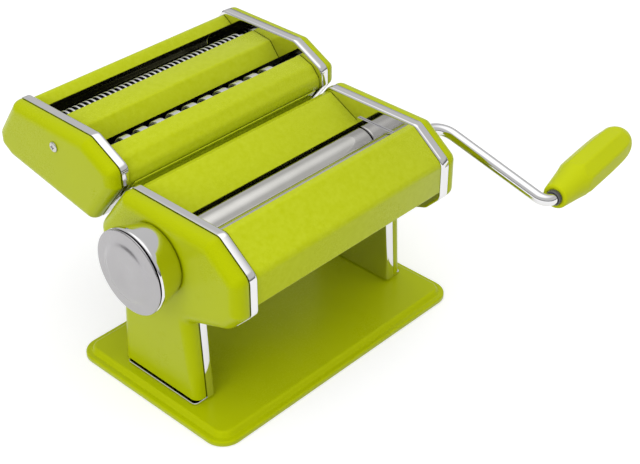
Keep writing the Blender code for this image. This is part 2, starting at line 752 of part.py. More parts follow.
def make_bushes(root):
    """Nylon bushes of the fixed roller, each with a thrust flange outside its plate."""
    bore = JOURNAL_RADIUS + GAP
    collar = bush_radius() + 0.002
    for side, label in ((-1, "left"), (1, "right")):
        inside = side * (ROLLER_LENGTH / 2 + GAP)
        step = side * (HALF_INNER + PLATE_SHEET + GAP)
        end = side * (HALF_INNER + PLATE_SHEET + BUSH_FLANGE - GAP)
        outer = bush_radius()
        ring = [(inside, bore), (inside, outer), (step, outer), (step, collar), (end, collar), (end, bore)]
        add_piece(f"front_bush_{label}", turned(ring, 12, FRONT_AXIS, ring=True), NYLON, root)


def make_carriers(sliding):
    """Sliding blocks outside the plates hold the adjustable roller; the left one has the cam's yoke."""
    near = HALF_INNER + PLATE_SHEET + GAP
    far = near + CARRIER_THICKNESS
    bore = JOURNAL_RADIUS + GAP
    outline = block(CARRIER_HALF_WIDTH, CARRIER_HALF_HEIGHT)
    right = [(near, bore), (near, outline), (far, outline), (far, bore)]
    add_piece("roller_carrier_right", turned(right, 16, REAR_AXIS, ring=True), SATIN_STEEL, sliding, 25.0)
    across, upward = CAM_RADIUS + YOKE_PLAY, CAM_RADIUS + CAM_OFFSET + YOKE_PLAY
    window = block(across, upward)
    frame = block(across + YOKE_WALL, upward + YOKE_WALL)
    top = far + CAM_WIDTH
    left = [(-near, bore), (-near, outline), (-far, outline), (-far, frame), (-top, frame), (-top, window),
            (-far, window), (-far, bore)]
    add_piece("roller_carrier_left", turned(left, 16, REAR_AXIS, ring=True), SATIN_STEEL, sliding, 25.0)


def make_gear(name, teeth, spacing, axis, facing, tooth, ends, bore, carrier):
    """A nylon gear between two x stations, with a tooth or a gap facing its mate."""
    low, high = min(ends), max(ends)
    outline = gear_outline(teeth, spacing, axis, facing, tooth)
    gear = add_piece(name, extruded(outline, low, high), NYLON, carrier, 30.0)
    cut(gear, x_hole(f"{name}_bore", low - 0.002, high + 0.002, axis, bore, carrier, 10))


def make_roller_gears(front_turning, rear_turning):
    x0 = gear_start()
    x1 = x0 + GEAR_WIDTH - GAP
    towards_rear = atan2(REAR_AXIS[1] - FRONT_AXIS[1], REAR_AXIS[0] - FRONT_AXIS[0])
    make_gear("front_roller_gear", ROLLER_TEETH, ROLLER_SPACING, FRONT_AXIS, towards_rear, True,
              (x0, x1), socket_radius() + GAP, front_turning)
    make_gear("rear_roller_gear", ROLLER_TEETH, ROLLER_SPACING, REAR_AXIS, towards_rear + pi, False,
              (x0, x1), JOURNAL_RADIUS + GAP, rear_turning)


# Crank

def crank_directions():
    down = Vector((0.0, -cos(CRANK_DROOP), -sin(CRANK_DROOP)))
    along = Vector((1.0, 0.0, 0.0))
    arm = down * cos(CRANK_LEAN) + along * sin(CRANK_LEAN)
    grip = along * cos(CRANK_LEAN) - down * sin(CRANK_LEAN)
    return down, arm, grip


def crank_corners():
    _, arm, grip = crank_directions()
    elbow = Vector((HALF_INNER + CRANK_REACH, *FRONT_AXIS))
    wrist = elbow + arm * CRANK_ARM
    return elbow, wrist, grip


def bend_points(before, corner, after, radius, steps):
    u = (before - corner).normalized()
    v = (after - corner).normalized()
    half = acos(u.dot(v)) / 2
    reach = radius / tan(half)
    centre = corner + (u + v).normalized() * (radius / sin(half))
    start = corner + u * reach - centre
    end = corner + v * reach - centre
    turn = pi - 2 * half
    points = []
    for k in range(steps + 1):
        share = k / steps
        points.append(centre + (start * sin((1 - share) * turn) + end * sin(share * turn)) / sin(turn))
    return points


def flutes(radius):
    """Radius of the grip's outline, drawn in between its ridges."""
    return lambda angle: radius * (1 - GRIP_FLUTE_DEPTH * (1 - cos(GRIP_FLUTES * angle)) / 2)


def make_crank(lifting, spinning):
    elbow, wrist, grip = crank_corners()
    shank_start = Vector((socket_end() - SOCKET_DEPTH + 2 * GAP, *FRONT_AXIS))
    spindle_end = wrist + grip * (GRIP_START + GRIP_LENGTH * GRIP_SPINDLE_SHARE)
    path = [shank_start] + bend_points(shank_start, elbow, wrist, ELBOW_RADIUS, 5)
    path += bend_points(elbow, wrist, spindle_end, WRIST_RADIUS, 5) + [spindle_end]
    down, _, _ = crank_directions()
    normal = Vector((1.0, 0.0, 0.0)).cross(down)
    add_piece("crank_rod", swept(path, ROD_RADIUS, 10, normal), CHROME, lifting, 40.0)
    turn = Vector((1.0, 0.0, 0.0)).rotation_difference(grip).to_matrix().to_4x4()
    place = Matrix.Translation(wrist + grip * GRIP_START) @ turn
    length, wide, neck = GRIP_LENGTH, GRIP_RADIUS, GRIP_NECK_RADIUS
    swell = wide - neck
    floor = GRIP_SPINDLE_SHARE * length + 2 * GAP
    profile = [(floor, GRIP_BORE), (0.0, GRIP_BORE), (0.0, neck - 0.0008), (0.0008, neck),
               (0.10 * length, neck + 0.35 * swell), (0.32 * length, neck + 0.75 * swell),
               (0.60 * length, wide), (0.80 * length, 0.985 * wide), (0.92 * length, 0.80 * wide),
               (0.98 * length, 0.46 * wide), (length, 0.12 * wide)]
    fluted = [(x, radius if radius <= GRIP_BORE else flutes(radius)) for x, radius in profile]
    grip_mesh = turned(fluted, 2 * GRIP_FLUTES)
    grip_mesh.transform(place)
    add_piece("crank_grip", grip_mesh, GREEN_PLASTIC, spinning)
    outer = GRIP_BORE + SLEEVE_WALL
    ring = [(-SLEEVE_LENGTH, GRIP_BORE), (-SLEEVE_LENGTH, outer - 0.0004), (-GAP, outer), (-GAP, GRIP_BORE)]
    washer = turned(ring, 12, ring=True)
    washer.transform(place)
    add_piece("grip_washer", washer, BLACK_PLASTIC, spinning)


# Thickness knob

def spring_length():
    """The spring's length when the knob is pulled right out."""
    return (2.5 * SPRING_TURNS + 2) * SPRING_WIRE


def at_knob(points):
    """Moves (depth from the cover's face, radius) points to the left side of the machine."""
    return [(-COVER_FACE - depth, radius) for depth, radius in points]


def make_knob(turning, pulling):
    """Polished skirt, hollow behind, with a satin face disc; it slides on the spindle and springs back."""
    wall, bore, depth = KNOB_WALL, SPINDLE_RADIUS + GAP, KNOB_DEPTH
    recess = depth - FACE_RECESS
    head_far = recess - GAP
    head_near = head_far - HEAD_THICKNESS
    web = head_near - 2 * GAP - spring_length() - KNOB_PULL
    waist = KNOB_WAIST - wall
    well = KNOB_WELL
    skirt = [(KNOB_GAP, waist), (KNOB_GAP, KNOB_WAIST), (0.35 * depth, KNOB_WAIST + 0.0003),
             (0.56 * depth, KNOB_WAIST + 0.0014), (0.72 * depth, KNOB_RADIUS - 0.0010),
             (0.82 * depth, KNOB_RADIUS), (0.96 * depth, KNOB_RADIUS), (depth, KNOB_RADIUS - 0.0006),
             (depth, FACE_RADIUS + GAP), (recess, FACE_RADIUS + GAP), (recess, well), (web, well),
             (web, bore), (web - wall, bore), (web - wall, well + wall), (recess - wall, well + wall),
             (recess - wall, waist)]
    add_piece("knob_skirt", turned(at_knob(skirt), 22, knob_axis(), ring=True), CHROME, pulling)
    face = [(recess + GAP, FACE_RADIUS - GAP), (depth, FACE_RADIUS), (depth + 0.0006, FACE_RADIUS - 0.0006),
            (depth + 0.7 * FACE_CROWN, 0.72 * FACE_RADIUS), (depth + FACE_CROWN, 0.0)]
    add_piece("knob_face", turned(at_knob(face), 22, knob_axis()), SATIN_STEEL, pulling)
    cam_near = HALF_INNER + PLATE_SHEET + CARRIER_THICKNESS + 2 * GAP - COVER_FACE
    cam_far = cam_near + CAM_WIDTH - GAP
    cam = off_centre(CAM_RADIUS, CAM_OFFSET, pi)
    head = KNOB_WELL - 2 * GAP
    spindle = [(cam_near, cam), (cam_far, cam), (cam_far, SPINDLE_RADIUS), (head_near, SPINDLE_RADIUS),
               (head_near, head), (head_far, head)]
    add_piece("knob_spindle", turned(at_knob(spindle), 16, knob_axis()), SATIN_STEEL, turning)
    make_spring(turning, -COVER_FACE - head_near + GAP + SPRING_WIRE)


def make_spring(turning, start):
    """The knob's return spring, drawn at its pressed length against the spindle's head."""
    per_turn = 8
    radius = (SPINDLE_RADIUS + KNOB_WELL) / 2
    y, z = knob_axis()
    along = Vector((1.0, 0.0, 0.0))
    rings = []
    for k in range(SPRING_TURNS * per_turn + 1):
        angle = 2 * pi * k / per_turn
        outward = Vector((0.0, cos(angle), sin(angle)))
        centre = Vector((start + 2.5 * SPRING_WIRE * k / per_turn, y, z)) + outward * radius
        spins = [pi / 2 * j for j in range(4)]
        rings.append([centre + (outward * cos(spin) + along * sin(spin)) * SPRING_WIRE for spin in spins])
    add_piece("knob_spring", lofted(rings), SATIN_STEEL, turning)


# Cutter attachment

def make_cutter_sides(head):
    corners = cutter_corners()
    pairs = cutter_axes()
    for side, label in ((-1, "left"), (1, "right")):
        plate = side_plate(f"cutter_plate_{label}", side, corners, CUTTER_HALF, head)
        cover = side_cover(f"cutter_cover_{label}", side, corners, CUTTER_HALF, CUTTER_FACE, CUTTER_EDGE,
                           head)
        near, wall = side * (CUTTER_HALF - 0.005), side * (CUTTER_HALF + 2 * PLATE_SHEET)
        for name, axis in pairs.items():
            cut(plate, x_hole(f"{name}_pass_{label}", near, wall, axis, CUTTER_JOURNAL + 2 * GAP, head, 8))
        for rod, centre in cutter_rods().items():
            hole = x_hole(f"cutter_rod_hole_{rod}_{label}", near, wall, centre, STUD_RADIUS + GAP, head, 6)
            cut(plate, hole)
        face_in, face_out = side * (CUTTER_FACE - 0.006), side * (CUTTER_FACE + 0.003)
        screw = (COVER_SCREW_Y, COVER_SCREW_Z)
        hole = x_hole(f"cover_screw_hole_{label}", face_in, face_out, screw, STUD_RADIUS + GAP, head, 8)
        cut(cover, hole)
        if side > 0:
            for name in ("fine_front", "wide_front"):
                radius = socket_radius() + 2 * GAP
                cut(cover, x_hole(f"{name}_crank_hole", face_in, face_out, pairs[name], radius, head))


def cutter_axes():
    pairs = {}
    for name, axis in (("fine", FINE_AXIS), ("wide", WIDE_AXIS)):
        pairs[f"{name}_front"] = axis
        pairs[f"{name}_rear"] = (axis[0] + PAIR_STEP[0], axis[1] + PAIR_STEP[1])
    return pairs


def cutter_rods():
    inset = inset_corners(cutter_corners(), 0.0085)
    return {"front": inset[3][:], "rear": inset[4][:]}


def make_cover_screws(head):
    """Pan heads with a cross recess hold the covers; their shanks reach the side plates."""
    seat = CUTTER_FACE + GAP
    start = CUTTER_HALF + PLATE_SHEET + GAP
    top = seat + 0.0011
    for side, label in ((-1, "left"), (1, "right")):
        half = [(start, STUD_RADIUS), (seat, STUD_RADIUS), (seat, SCREW_HEAD_RADIUS),
                (seat + 0.0006, SCREW_HEAD_RADIUS), (top, 0.65 * SCREW_HEAD_RADIUS)]
        pan = turned([(side * x, radius) for x, radius in half], 10, (COVER_SCREW_Y, COVER_SCREW_Z))
        screw = add_piece(f"cover_screw_{label}", pan, SATIN_STEEL, head)
        ends = sorted((side * (top - 0.0005), side * (top + 0.0010)))
        for direction, half_y, half_z in (("flat", 0.0014, 0.0004), ("upright", 0.0004, 0.0014)):
            low = (ends[0], COVER_SCREW_Y - half_y, COVER_SCREW_Z - half_z)
            high = (ends[1], COVER_SCREW_Y + half_y, COVER_SCREW_Z + half_z)
            cut(screw, add_cutter(f"recess_{label}_{direction}", box(low, high), head))


def make_cutter_panels(head):
    half = CUTTER_HALF - GAP
    inset = inset_corners(cutter_corners(), PANEL_INSET)
    top_rear, rear_high, rear_low, tail = inset[7], inset[6], inset[5], inset[4]
    back = [(tail.x, tail.y, 0.0), (rear_low.x, rear_low.y, 0.0040), (rear_high.x, rear_high.y, 0.0050),
            (top_rear.x, top_rear.y - 0.0004, 0.0030), (*BACK_PANEL_EDGE, 0.0)]
    add_piece("cutter_back_panel", bent_sheet(rounded_path(back), PANEL_SHEET, half), GREEN_PAINT, head)
    roof = [(*ROOF_REAR_EDGE, 0.0), (*ROOF_BREAK, 0.0030), (*ROOF_FRONT_EDGE, 0.0)]
    add_piece("cutter_roof_panel", bent_sheet(rounded_path(roof), PANEL_SHEET, half), GREEN_PAINT, head)
    nose, heel = inset[2], inset[3]
    front = [(*FRONT_BROW_EDGE, 0.0), (*FRONT_BROW, 0.0060),
             (nose.x + NOSE_SET_BACK, nose.y + NOSE_RISE, 0.0060), (nose.x, nose.y, 0.0060),
             (heel.x, heel.y, 0.0)]
    add_piece("cutter_front_panel", bent_sheet(rounded_path(front), PANEL_SHEET, half), GREEN_PAINT, head)


def ring_profile(pitch, offset):
    """Square rings on a core; offset is 0 or half a pitch, so that a pair interleaves."""
    half = CUTTER_LENGTH / 2
    width = pitch / 2 - 2 * RING_PLAY
    count = int((CUTTER_LENGTH - pitch) / pitch)
    first = offset - ((count - 1) * pitch + pitch / 2) / 2
    profile = [(-half, CUTTER_JOURNAL), (-half, CUTTER_CORE)]
    for k in range(count):
        near = first + k * pitch - width / 2
        far = near + width
        profile += [(near, CUTTER_CORE), (near, CUTTER_RADIUS), (far, CUTTER_RADIUS), (far, CUTTER_CORE)]
    profile += [(half, CUTTER_CORE), (half, CUTTER_JOURNAL)]
    return profile


def make_cutter_pair(name, pitch, sides, turning, head):
    """Two interleaving cutters with their bush blocks and gears; the front one carries a crank socket."""
    axes = cutter_axes()
    plate_face = CUTTER_HALF + PLATE_SHEET
    block_end = plate_face + GAP + BUSH_BLOCK
    gear_near = -(block_end + GAP)
    gear_far = gear_near - CUTTER_GEAR_WIDTH
    socket_near = block_end + GAP
    end = CUTTER_FACE - COVER_WALL - 0.0010
    floor = end - CUTTER_SOCKET_DEPTH
    for role, offset in (("front", 0.0), ("rear", pitch / 2)):
        profile = [(gear_far, CUTTER_JOURNAL)] + ring_profile(pitch, offset)
        profile.append((floor if role == "front" else block_end, CUTTER_JOURNAL))
        key = f"{name}_{role}"
        cutter = turned(profile, sides, axes[key])
        add_piece(f"{name}_cutter_{role}", cutter, SATIN_STEEL, turning[key], 50.0)
        facing = PAIR_ANGLE if role == "front" else PAIR_ANGLE + pi
        make_gear(f"{name}_gear_{role}", CUTTER_TEETH, PAIR_SPACING, axes[key], facing, role == "front",
                  (gear_near, gear_far), CUTTER_JOURNAL + GAP, turning[key])
    socket = [(socket_near, CUTTER_JOURNAL + GAP), (socket_near, socket_radius()), (end, socket_radius()),
              (end, SOCKET_BORE), (floor, SOCKET_BORE), (floor, CUTTER_JOURNAL + GAP)]
    socket = turned(socket, 12, axes[f"{name}_front"], ring=True)
    add_piece(f"{name}_crank_socket", socket, SATIN_STEEL, turning[f"{name}_front"])
    for side, label in ((-1, "left"), (1, "right")):
        ends = sorted((side * (plate_face + GAP), side * block_end))
        outline = bush_block_outline(axes[f"{name}_front"])
        piece = add_piece(f"{name}_bush_block_{label}", extruded(outline, *ends), NYLON, head)
        for role in ("front", "rear"):
            key = f"{name}_{role}"
            bore = CUTTER_JOURNAL + GAP
            reach = (ends[0] - 0.002, ends[1] + 0.002)
            cut(piece, x_hole(f"{key}_bore_{label}", *reach, axes[key], bore, head, 8))


def bush_block_outline(front_axis):
    """A round-ended block that spans both axes of a pair."""
    along = Vector((cos(PAIR_ANGLE), sin(PAIR_ANGLE)))
    across = Vector((-along.y, along.x))
    reach = CUTTER_JOURNAL + BUSH_BLOCK_RIM
    middle = Vector(front_axis) + along * (PAIR_SPACING / 2)
    half = PAIR_SPACING / 2 + reach
    corners = [(-half, -reach), (half, -reach), (half, reach), (-half, reach)]
    places = [middle + along * u + across * v for u, v in corners]
    return rounded_outline([(place.x, place.y, 0.95 * reach) for place in places], 0.0, 2)


def make_comb(name, pitch, axis, head):
    """A strip below the front cutter whose fingers lie between its rings and strip the dough."""
    profile = ring_profile(pitch, 0.0)
    starts = [x for x, r in profile if r == CUTTER_RADIUS]
    finger = pitch / 2 - 4 * GAP
    grooves = [(a + b) / 2 for a, b in zip(starts[1::2], starts[2::2])]
    half = CUTTER_HALF - GAP
    low_z = axis[1] - CUTTER_RADIUS - COMB_DEPTH
    bar_z = axis[1] - CUTTER_RADIUS - COMB_CLEARANCE
    tip_z = axis[1] - CUTTER_CORE - 3 * GAP
    points = [(-half, low_z), (half, low_z), (half, bar_z)]
    for x in grooves[::-1]:
        points += [(x + finger / 2, bar_z), (x, tip_z), (x - finger / 2, bar_z)]
    points.append((-half, bar_z))
    y0, y1 = axis[0] - COMB_SHEET, axis[0]
    front = [(x, y0, z) for x, z in points]
    back = [(x, y1, z) for x, z in points]
    add_piece(name, lofted([front, back]), BLACK_PLASTIC, head)


# Hanger between body and attachment

def on_slope(along, out):
    """A point measured up the body's rear slope and out from it."""
    up = Vector((-cos(SLOPE_ANGLE), sin(SLOPE_ANGLE)))
    normal = Vector((sin(SLOPE_ANGLE), cos(SLOPE_ANGLE)))
    start = Vector(((TOP_REAR_Y + BODY_REAR) / 2, (BODY_TOP + SHOULDER_REAR_Z) / 2))
    return start + up * along + normal * out


def make_hanger(root, head):
    """A folded rail on the rear panel holds the attachment's hook strip, which slides up the slope."""
    sheet = HANGER_SHEET
    inner = -PANEL_INSET + GAP
    outer = NEST_GAP - GAP
    rail = [on_slope(RAIL_TOP, inner), on_slope(RAIL_FLOOR, inner), on_slope(RAIL_FLOOR, outer),
            on_slope(RAIL_LIP, outer)]
    half = HALF_INNER - GAP
    add_piece("hanger_rail", bent_sheet(rail, sheet, half), DARK_STEEL, root)
    low = inner + sheet + GAP
    high = NEST_GAP + PANEL_INSET - GAP - sheet
    strip = [on_slope(RAIL_FLOOR + sheet + GAP, low), on_slope(0.001, low), on_slope(RAIL_TOP, high),
             on_slope(RAIL_TOP + HOOK_REACH, high)]
    add_piece("hook_strip", bent_sheet(strip[::-1], sheet, HOOK_LENGTH / 2), DARK_STEEL, head)


# Assembly

def stand_on_origin(root):
    """Moves the whole machine so that its box is centred on the origin in X and Y."""
    bpy.context.view_layer.update()
    solids = [obj for obj in bpy.data.objects if obj.type == "MESH" and not obj.hide_render]
    points = [obj.matrix_world @ vertex.co for obj in solids for vertex in obj.data.vertices]
    for axis in (0, 1):
        values = [point[axis] for point in points]
        root.location[axis] = -(min(values) + max(values)) / 2
    bpy.context.view_layer.update()


def build():
    clear_scene()
    root = pivot("machine", (0.0, 0.0, 0.0))
    front_turning = pivot("front_roller_axis", (0.0, *FRONT_AXIS), root)
    sliding = pivot("carrier_slide", (0.0, *REAR_AXIS), root)
    rear_turning = pivot("rear_roller_axis", (0.0, *REAR_AXIS), sliding)
    crank_pull = pivot("crank_pull", (COVER_FACE, *FRONT_AXIS), front_turning)
    _, wrist, grip = crank_corners()
    grip_spin = pivot("grip_axis", wrist + grip * GRIP_START, crank_pull)
    knob_turn = pivot("knob_axis", (-KNOB_BACK, *knob_axis()), root)
    knob_pull = pivot("knob_slide", (-KNOB_BACK, *knob_axis()), knob_turn)
    head = pivot("cutter_head", (0.0, *on_slope(0.0, NEST_GAP)), root)
    turning = {name: pivot(f"{name}_axis", (0.0, *axis), head) for name, axis in cutter_axes().items()}

    make_base(root)
    make_feet(root)
    make_body_sides(root)
    make_body_panels(root)
    for name, centre in TIE_RODS.items():
        make_rod(f"tie_rod_{name}", centre, HALF_INNER, root)
    make_scrapers(root)
    make_front_roller(front_turning)
    make_rear_roller(rear_turning)
    make_bushes(root)
    make_carriers(sliding)
    make_roller_gears(front_turning, rear_turning)
    make_crank(crank_pull, grip_spin)
    make_knob(knob_turn, knob_pull)

    make_cutter_sides(head)
    make_cover_screws(head)
    make_cutter_panels(head)
    for name, centre in cutter_rods().items():
        make_rod(f"cutter_tie_rod_{name}", centre, CUTTER_HALF, head)
    make_cutter_pair("fine", FINE_PITCH, FINE_SIDES, turning, head)
    make_cutter_pair("wide", WIDE_PITCH, WIDE_SIDES, turning, head)
    make_comb("fine_comb", FINE_PITCH, FINE_AXIS, head)
    make_comb("wide_comb", WIDE_PITCH, WIDE_AXIS, head)
    make_hanger(root, head)
    stand_on_origin(root)


build()
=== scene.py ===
# %% [markdown]
# # Dressing a hand-cranked pasta machine
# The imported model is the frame: it says where every piece is and how it moves. This lesson gives each
# piece the finish and the fine shape that the real machine shows. Pieces are drawn again from the same
# sizes as the model, with rounder bends and softened edges, and each one stands for its solid.

# %% Load the frame
from math import acos, atan2, cos, pi, radians, sin, sqrt, tan

import bmesh
import bpy
from mathutils import Matrix, Vector


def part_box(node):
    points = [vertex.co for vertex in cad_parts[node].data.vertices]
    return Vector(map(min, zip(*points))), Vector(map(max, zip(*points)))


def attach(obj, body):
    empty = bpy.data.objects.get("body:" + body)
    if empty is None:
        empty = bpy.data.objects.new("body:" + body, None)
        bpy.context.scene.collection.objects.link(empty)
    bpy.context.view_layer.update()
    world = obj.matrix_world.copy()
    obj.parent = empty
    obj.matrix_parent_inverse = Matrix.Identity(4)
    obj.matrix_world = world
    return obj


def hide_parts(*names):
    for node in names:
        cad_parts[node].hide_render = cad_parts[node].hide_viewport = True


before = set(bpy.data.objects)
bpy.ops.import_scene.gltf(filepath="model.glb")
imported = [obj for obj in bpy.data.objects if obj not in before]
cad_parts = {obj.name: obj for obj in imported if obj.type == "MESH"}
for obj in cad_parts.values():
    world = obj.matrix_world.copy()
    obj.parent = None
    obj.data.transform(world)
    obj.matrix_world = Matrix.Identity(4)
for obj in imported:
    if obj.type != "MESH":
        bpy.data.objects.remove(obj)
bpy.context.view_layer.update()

# %% [markdown]
# The machine was drawn with its base in the middle, and then moved so that the whole box is centred.
# The base tray's box gives that move back, so every size below can be written in the machine's own
# coordinates: X along the rollers towards the crank, Y to the back, Z up from the table.

# %% The machine's own place
base_low, base_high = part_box("base_plate")
MACHINE = Matrix.Translation(((base_low.x + base_high.x) / 2, (base_low.y + base_high.y) / 2, 0.0))
print("machine stands at", [round(v, 5) for v in MACHINE.translation])

# %% [markdown]
# ## Camera
# The photograph looks down on the machine from its front left corner, through a lens of about 78 mm on
# a 36 mm sensor. The camera's three axes are written out, because they are easier to check than angles,
# and its place is given as a point on its line of sight and the distance back from there.

# %% Camera
AZIMUTH, ELEVATION = radians(-46.69), radians(34.4)
FOCAL_PIXELS, PICTURE_WIDTH, SENSOR_WIDTH = 1385.1, 640, 36.0
SIGHT_POINT, SIGHT_DISTANCE = Vector((-0.16224, -0.19721, 0.24481)), 0.54688
backward = Vector((sin(AZIMUTH) * cos(ELEVATION), -cos(AZIMUTH) * cos(ELEVATION), sin(ELEVATION)))
rightward = Vector((cos(AZIMUTH), sin(AZIMUTH), 0.0))
upward = backward.cross(rightward)
camera_data = bpy.data.cameras.new("photo_camera")
camera_data.sensor_width = SENSOR_WIDTH
camera_data.lens = SENSOR_WIDTH * FOCAL_PIXELS / PICTURE_WIDTH
camera = bpy.data.objects.new("photo_camera", camera_data)
bpy.context.scene.collection.objects.link(camera)
turned_axes = Matrix((rightward, upward, backward)).transposed().to_4x4()
viewpoint = Matrix.Translation(SIGHT_POINT + backward * SIGHT_DISTANCE)
camera.matrix_world = MACHINE @ viewpoint @ turned_axes
bpy.context.scene.camera = camera
print("camera lens", round(camera_data.lens, 2), "mm")

# %% [markdown]
# ## Shader tools
# Every finish is a node tree. Small functions keep the trees readable: one makes a node and sets its
# sockets by name, three join sockets one by one, in pairs or along a row of nodes, one does sums, and
# one opens a group with named inputs and outputs.

# %% Node helpers
FLOAT, COLOUR, VECTOR, WHOLE = "NodeSocketFloat", "NodeSocketColor", "NodeSocketVector", "NodeSocketInt"


def put_node(tree, kind, **sockets):
    node = tree.nodes.new(kind)
    for name, value in sockets.items():
        label = name.replace("_", " ")
        if label in node.inputs:
            node.inputs[label].default_value = value
        else:
            setattr(node, name, value)
    return node


def join(tree, start, end):
    tree.links.new(start, end)


def join_all(tree, *pairs):
    for start, end in pairs:
        join(tree, start, end)


def chain(tree, *nodes):
    """Joins each node's first output to the next node's first input."""
    join_all(tree, *[(first.outputs[0], second.inputs[0]) for first, second in zip(nodes, nodes[1:])])


def math_node(tree, operation, *operands, clamp=False):
    """A sum of numbers and sockets, as a socket."""
    node = put_node(tree, "ShaderNodeMath", operation=operation, use_clamp=clamp)
    for socket, value in zip(node.inputs, operands):
        if isinstance(value, (int, float)):
            socket.default_value = value
        else:
            join(tree, value, socket)
    return node.outputs[0]


def open_group(name, inputs, outputs, kind="ShaderNodeTree"):
    """A node group with named sockets; inputs are (name, socket type, value)."""
    group = bpy.data.node_groups.new(name, kind)
    for label, socket_type, value in inputs:
        socket = group.interface.new_socket(label, in_out="INPUT", socket_type=socket_type)
        if value is not None:
            socket.default_value = value
    for label, socket_type in outputs:
        group.interface.new_socket(label, in_out="OUTPUT", socket_type=socket_type)
    return group, group.nodes.new("NodeGroupInput"), group.nodes.new("NodeGroupOutput")


# %% [markdown]
# ### Cloudy variation
# No real surface has one colour or one gloss. This group mixes two colours by a soft noise and lets the
# roughness drift between two values. Paint, plastic and rubber all use it with their own amounts.

# %% Group: cloudy variation
def object_noise(group, scale, **settings):
    """Noise in the piece's own coordinates, so it stays where it is when the piece moves."""
    place = put_node(group, "ShaderNodeTexCoord")
    noise = put_node(group, "ShaderNodeTexNoise", **settings)
    join_all(group, (place.outputs["Object"], noise.inputs["Vector"]), (scale, noise.inputs["Scale"]))
    return noise.outputs["Fac"]


def make_cloud_group():
    group, entry, result = open_group(
        "cloudy_variation",
        [("Colour A", COLOUR, (0.5, 0.5, 0.5, 1)), ("Colour B", COLOUR, (0.6, 0.6, 0.6, 1)),
         ("Scale", FLOAT, 20.0), ("Rough Low", FLOAT, 0.2), ("Rough High", FLOAT, 0.3)],
        [("Colour", COLOUR), ("Roughness", FLOAT)])
    noise = object_noise(group, entry.outputs["Scale"], Detail=4.0, Roughness=0.55)
    mix = put_node(group, "ShaderNodeMix", data_type="RGBA")
    drift = put_node(group, "ShaderNodeMapRange", From_Min=0.3, From_Max=0.7)
    join_all(group, (noise, mix.inputs[0]), (entry.outputs["Colour A"], mix.inputs[6]),
             (entry.outputs["Colour B"], mix.inputs[7]), (mix.outputs[2], result.inputs["Colour"]),
             (noise, drift.inputs["Value"]), (entry.outputs["Rough Low"], drift.inputs["To Min"]),
             (entry.outputs["Rough High"], drift.inputs["To Max"]),
             (drift.outputs["Result"], result.inputs["Roughness"]))
    return group


CLOUD_GROUP = make_cloud_group()
print("group", CLOUD_GROUP.name, "made")

# %% [markdown]
# ### Grain and ripple
# Brushed steel has fine lines one way, sprayed lacquer has a faint orange peel, and moulded plastic has
# a fine speckle. All three are a noise that is stretched by its own scale in X, Y and Z.

# %% Group: stretched grain
def make_grain_group():
    group, entry, result = open_group(
        "stretched_grain",
        [("Stretch", VECTOR, (1.0, 1.0, 1.0)), ("Contrast", FLOAT, 1.0)],
        [("Height", FLOAT), ("Streaks", FLOAT)])
    place = put_node(group, "ShaderNodeTexCoord")
    scaled = put_node(group, "ShaderNodeVectorMath", operation="MULTIPLY")
    noise = put_node(group, "ShaderNodeTexNoise", Scale=1.0, Detail=3.0, Roughness=0.6)
    centred = math_node(group, "SUBTRACT", noise.outputs["Fac"], 0.5)
    height = math_node(group, "MULTIPLY", centred, entry.outputs["Contrast"])
    join_all(group, (place.outputs["Object"], scaled.inputs[0]), (entry.outputs["Stretch"], scaled.inputs[1]),
             (scaled.outputs[0], noise.inputs["Vector"]), (height, result.inputs["Height"]),
             (math_node(group, "ABSOLUTE", height), result.inputs["Streaks"]))
    return group


GRAIN_GROUP = make_grain_group()
print("group", GRAIN_GROUP.name, "made")

# %% [markdown]
# ### Edge wear with painted highlights, and painted shade
# Lacquer thins on a bend and bare metal is polished there by handling; the brighter colour laid on the
# edges is partly that wear and partly a painted highlight. The inner side of a pressed panel, the inside
# of a cover and the walls of the grooves are painted dark, and that dark is painted shade. The drawing
# tools mark both with an attribute, one called edge and one for the painted shade. One function makes a group
# for each: it breaks the mark up with noise, the edges strongly and the shaded faces hardly.

# %% Groups: edge wear with painted highlights, painted shade
def make_mark_group(name, attribute, amount, scale, least, spread):
    """The marked places as a mask that wanders between least and least + spread."""
    group, entry, result = open_group(
        name, [("Amount", FLOAT, amount), ("Scale", FLOAT, scale)], [("Mask", FLOAT)])
    mark = put_node(group, "ShaderNodeAttribute", attribute_name=attribute)
    noise = object_noise(group, entry.outputs["Scale"], Detail=2.0)
    uneven = math_node(group, "MULTIPLY_ADD", noise, spread, least)
    broken = math_node(group, "MULTIPLY", mark.outputs["Fac"], uneven)
    mask = math_node(group, "MULTIPLY", broken, entry.outputs["Amount"], clamp=True)
    join(group, mask, result.inputs["Mask"])
    return group


# mask for the edge colour, which is partly wear and partly a painted highlight
EDGE_GROUP = make_mark_group("worn_edges", "edge", 0.5, 300.0, 0.0, 1.0)
# mask for painted shade: marked faces are darkened almost to black
PAINTED_SHADE_GROUP = make_mark_group("painted_shade_faces", "painted_shade", 1.0, 120.0, 0.96, 0.06)
print("groups so far:", [group.name for group in bpy.data.node_groups])

# %% [markdown]
# ## Finishes
# Each finish is one material. A function holds what they share: cloudy colour and gloss, grain through
# a bump, edge wear with a painted highlight, and painted shade on marked faces. Numbers that are the
# same everywhere are set on the shader's own sockets.

# %% Finish maker
STREAK_SHARE = 0.2


def put_group(tree, group, **values):
    return put_node(tree, "ShaderNodeGroup", node_tree=group, **values)


def tinted(tree, colour, group, tint, **values):
    """Mixes a second colour in where a group's mask says."""
    mask = put_group(tree, group, **values)
    mix = put_node(tree, "ShaderNodeMix", data_type="RGBA")
    join_all(tree, (mask.outputs["Mask"], mix.inputs[0]), (colour, mix.inputs[6]))
    mix.inputs[7].default_value = (*tint, 1)
    return mix.outputs[2]


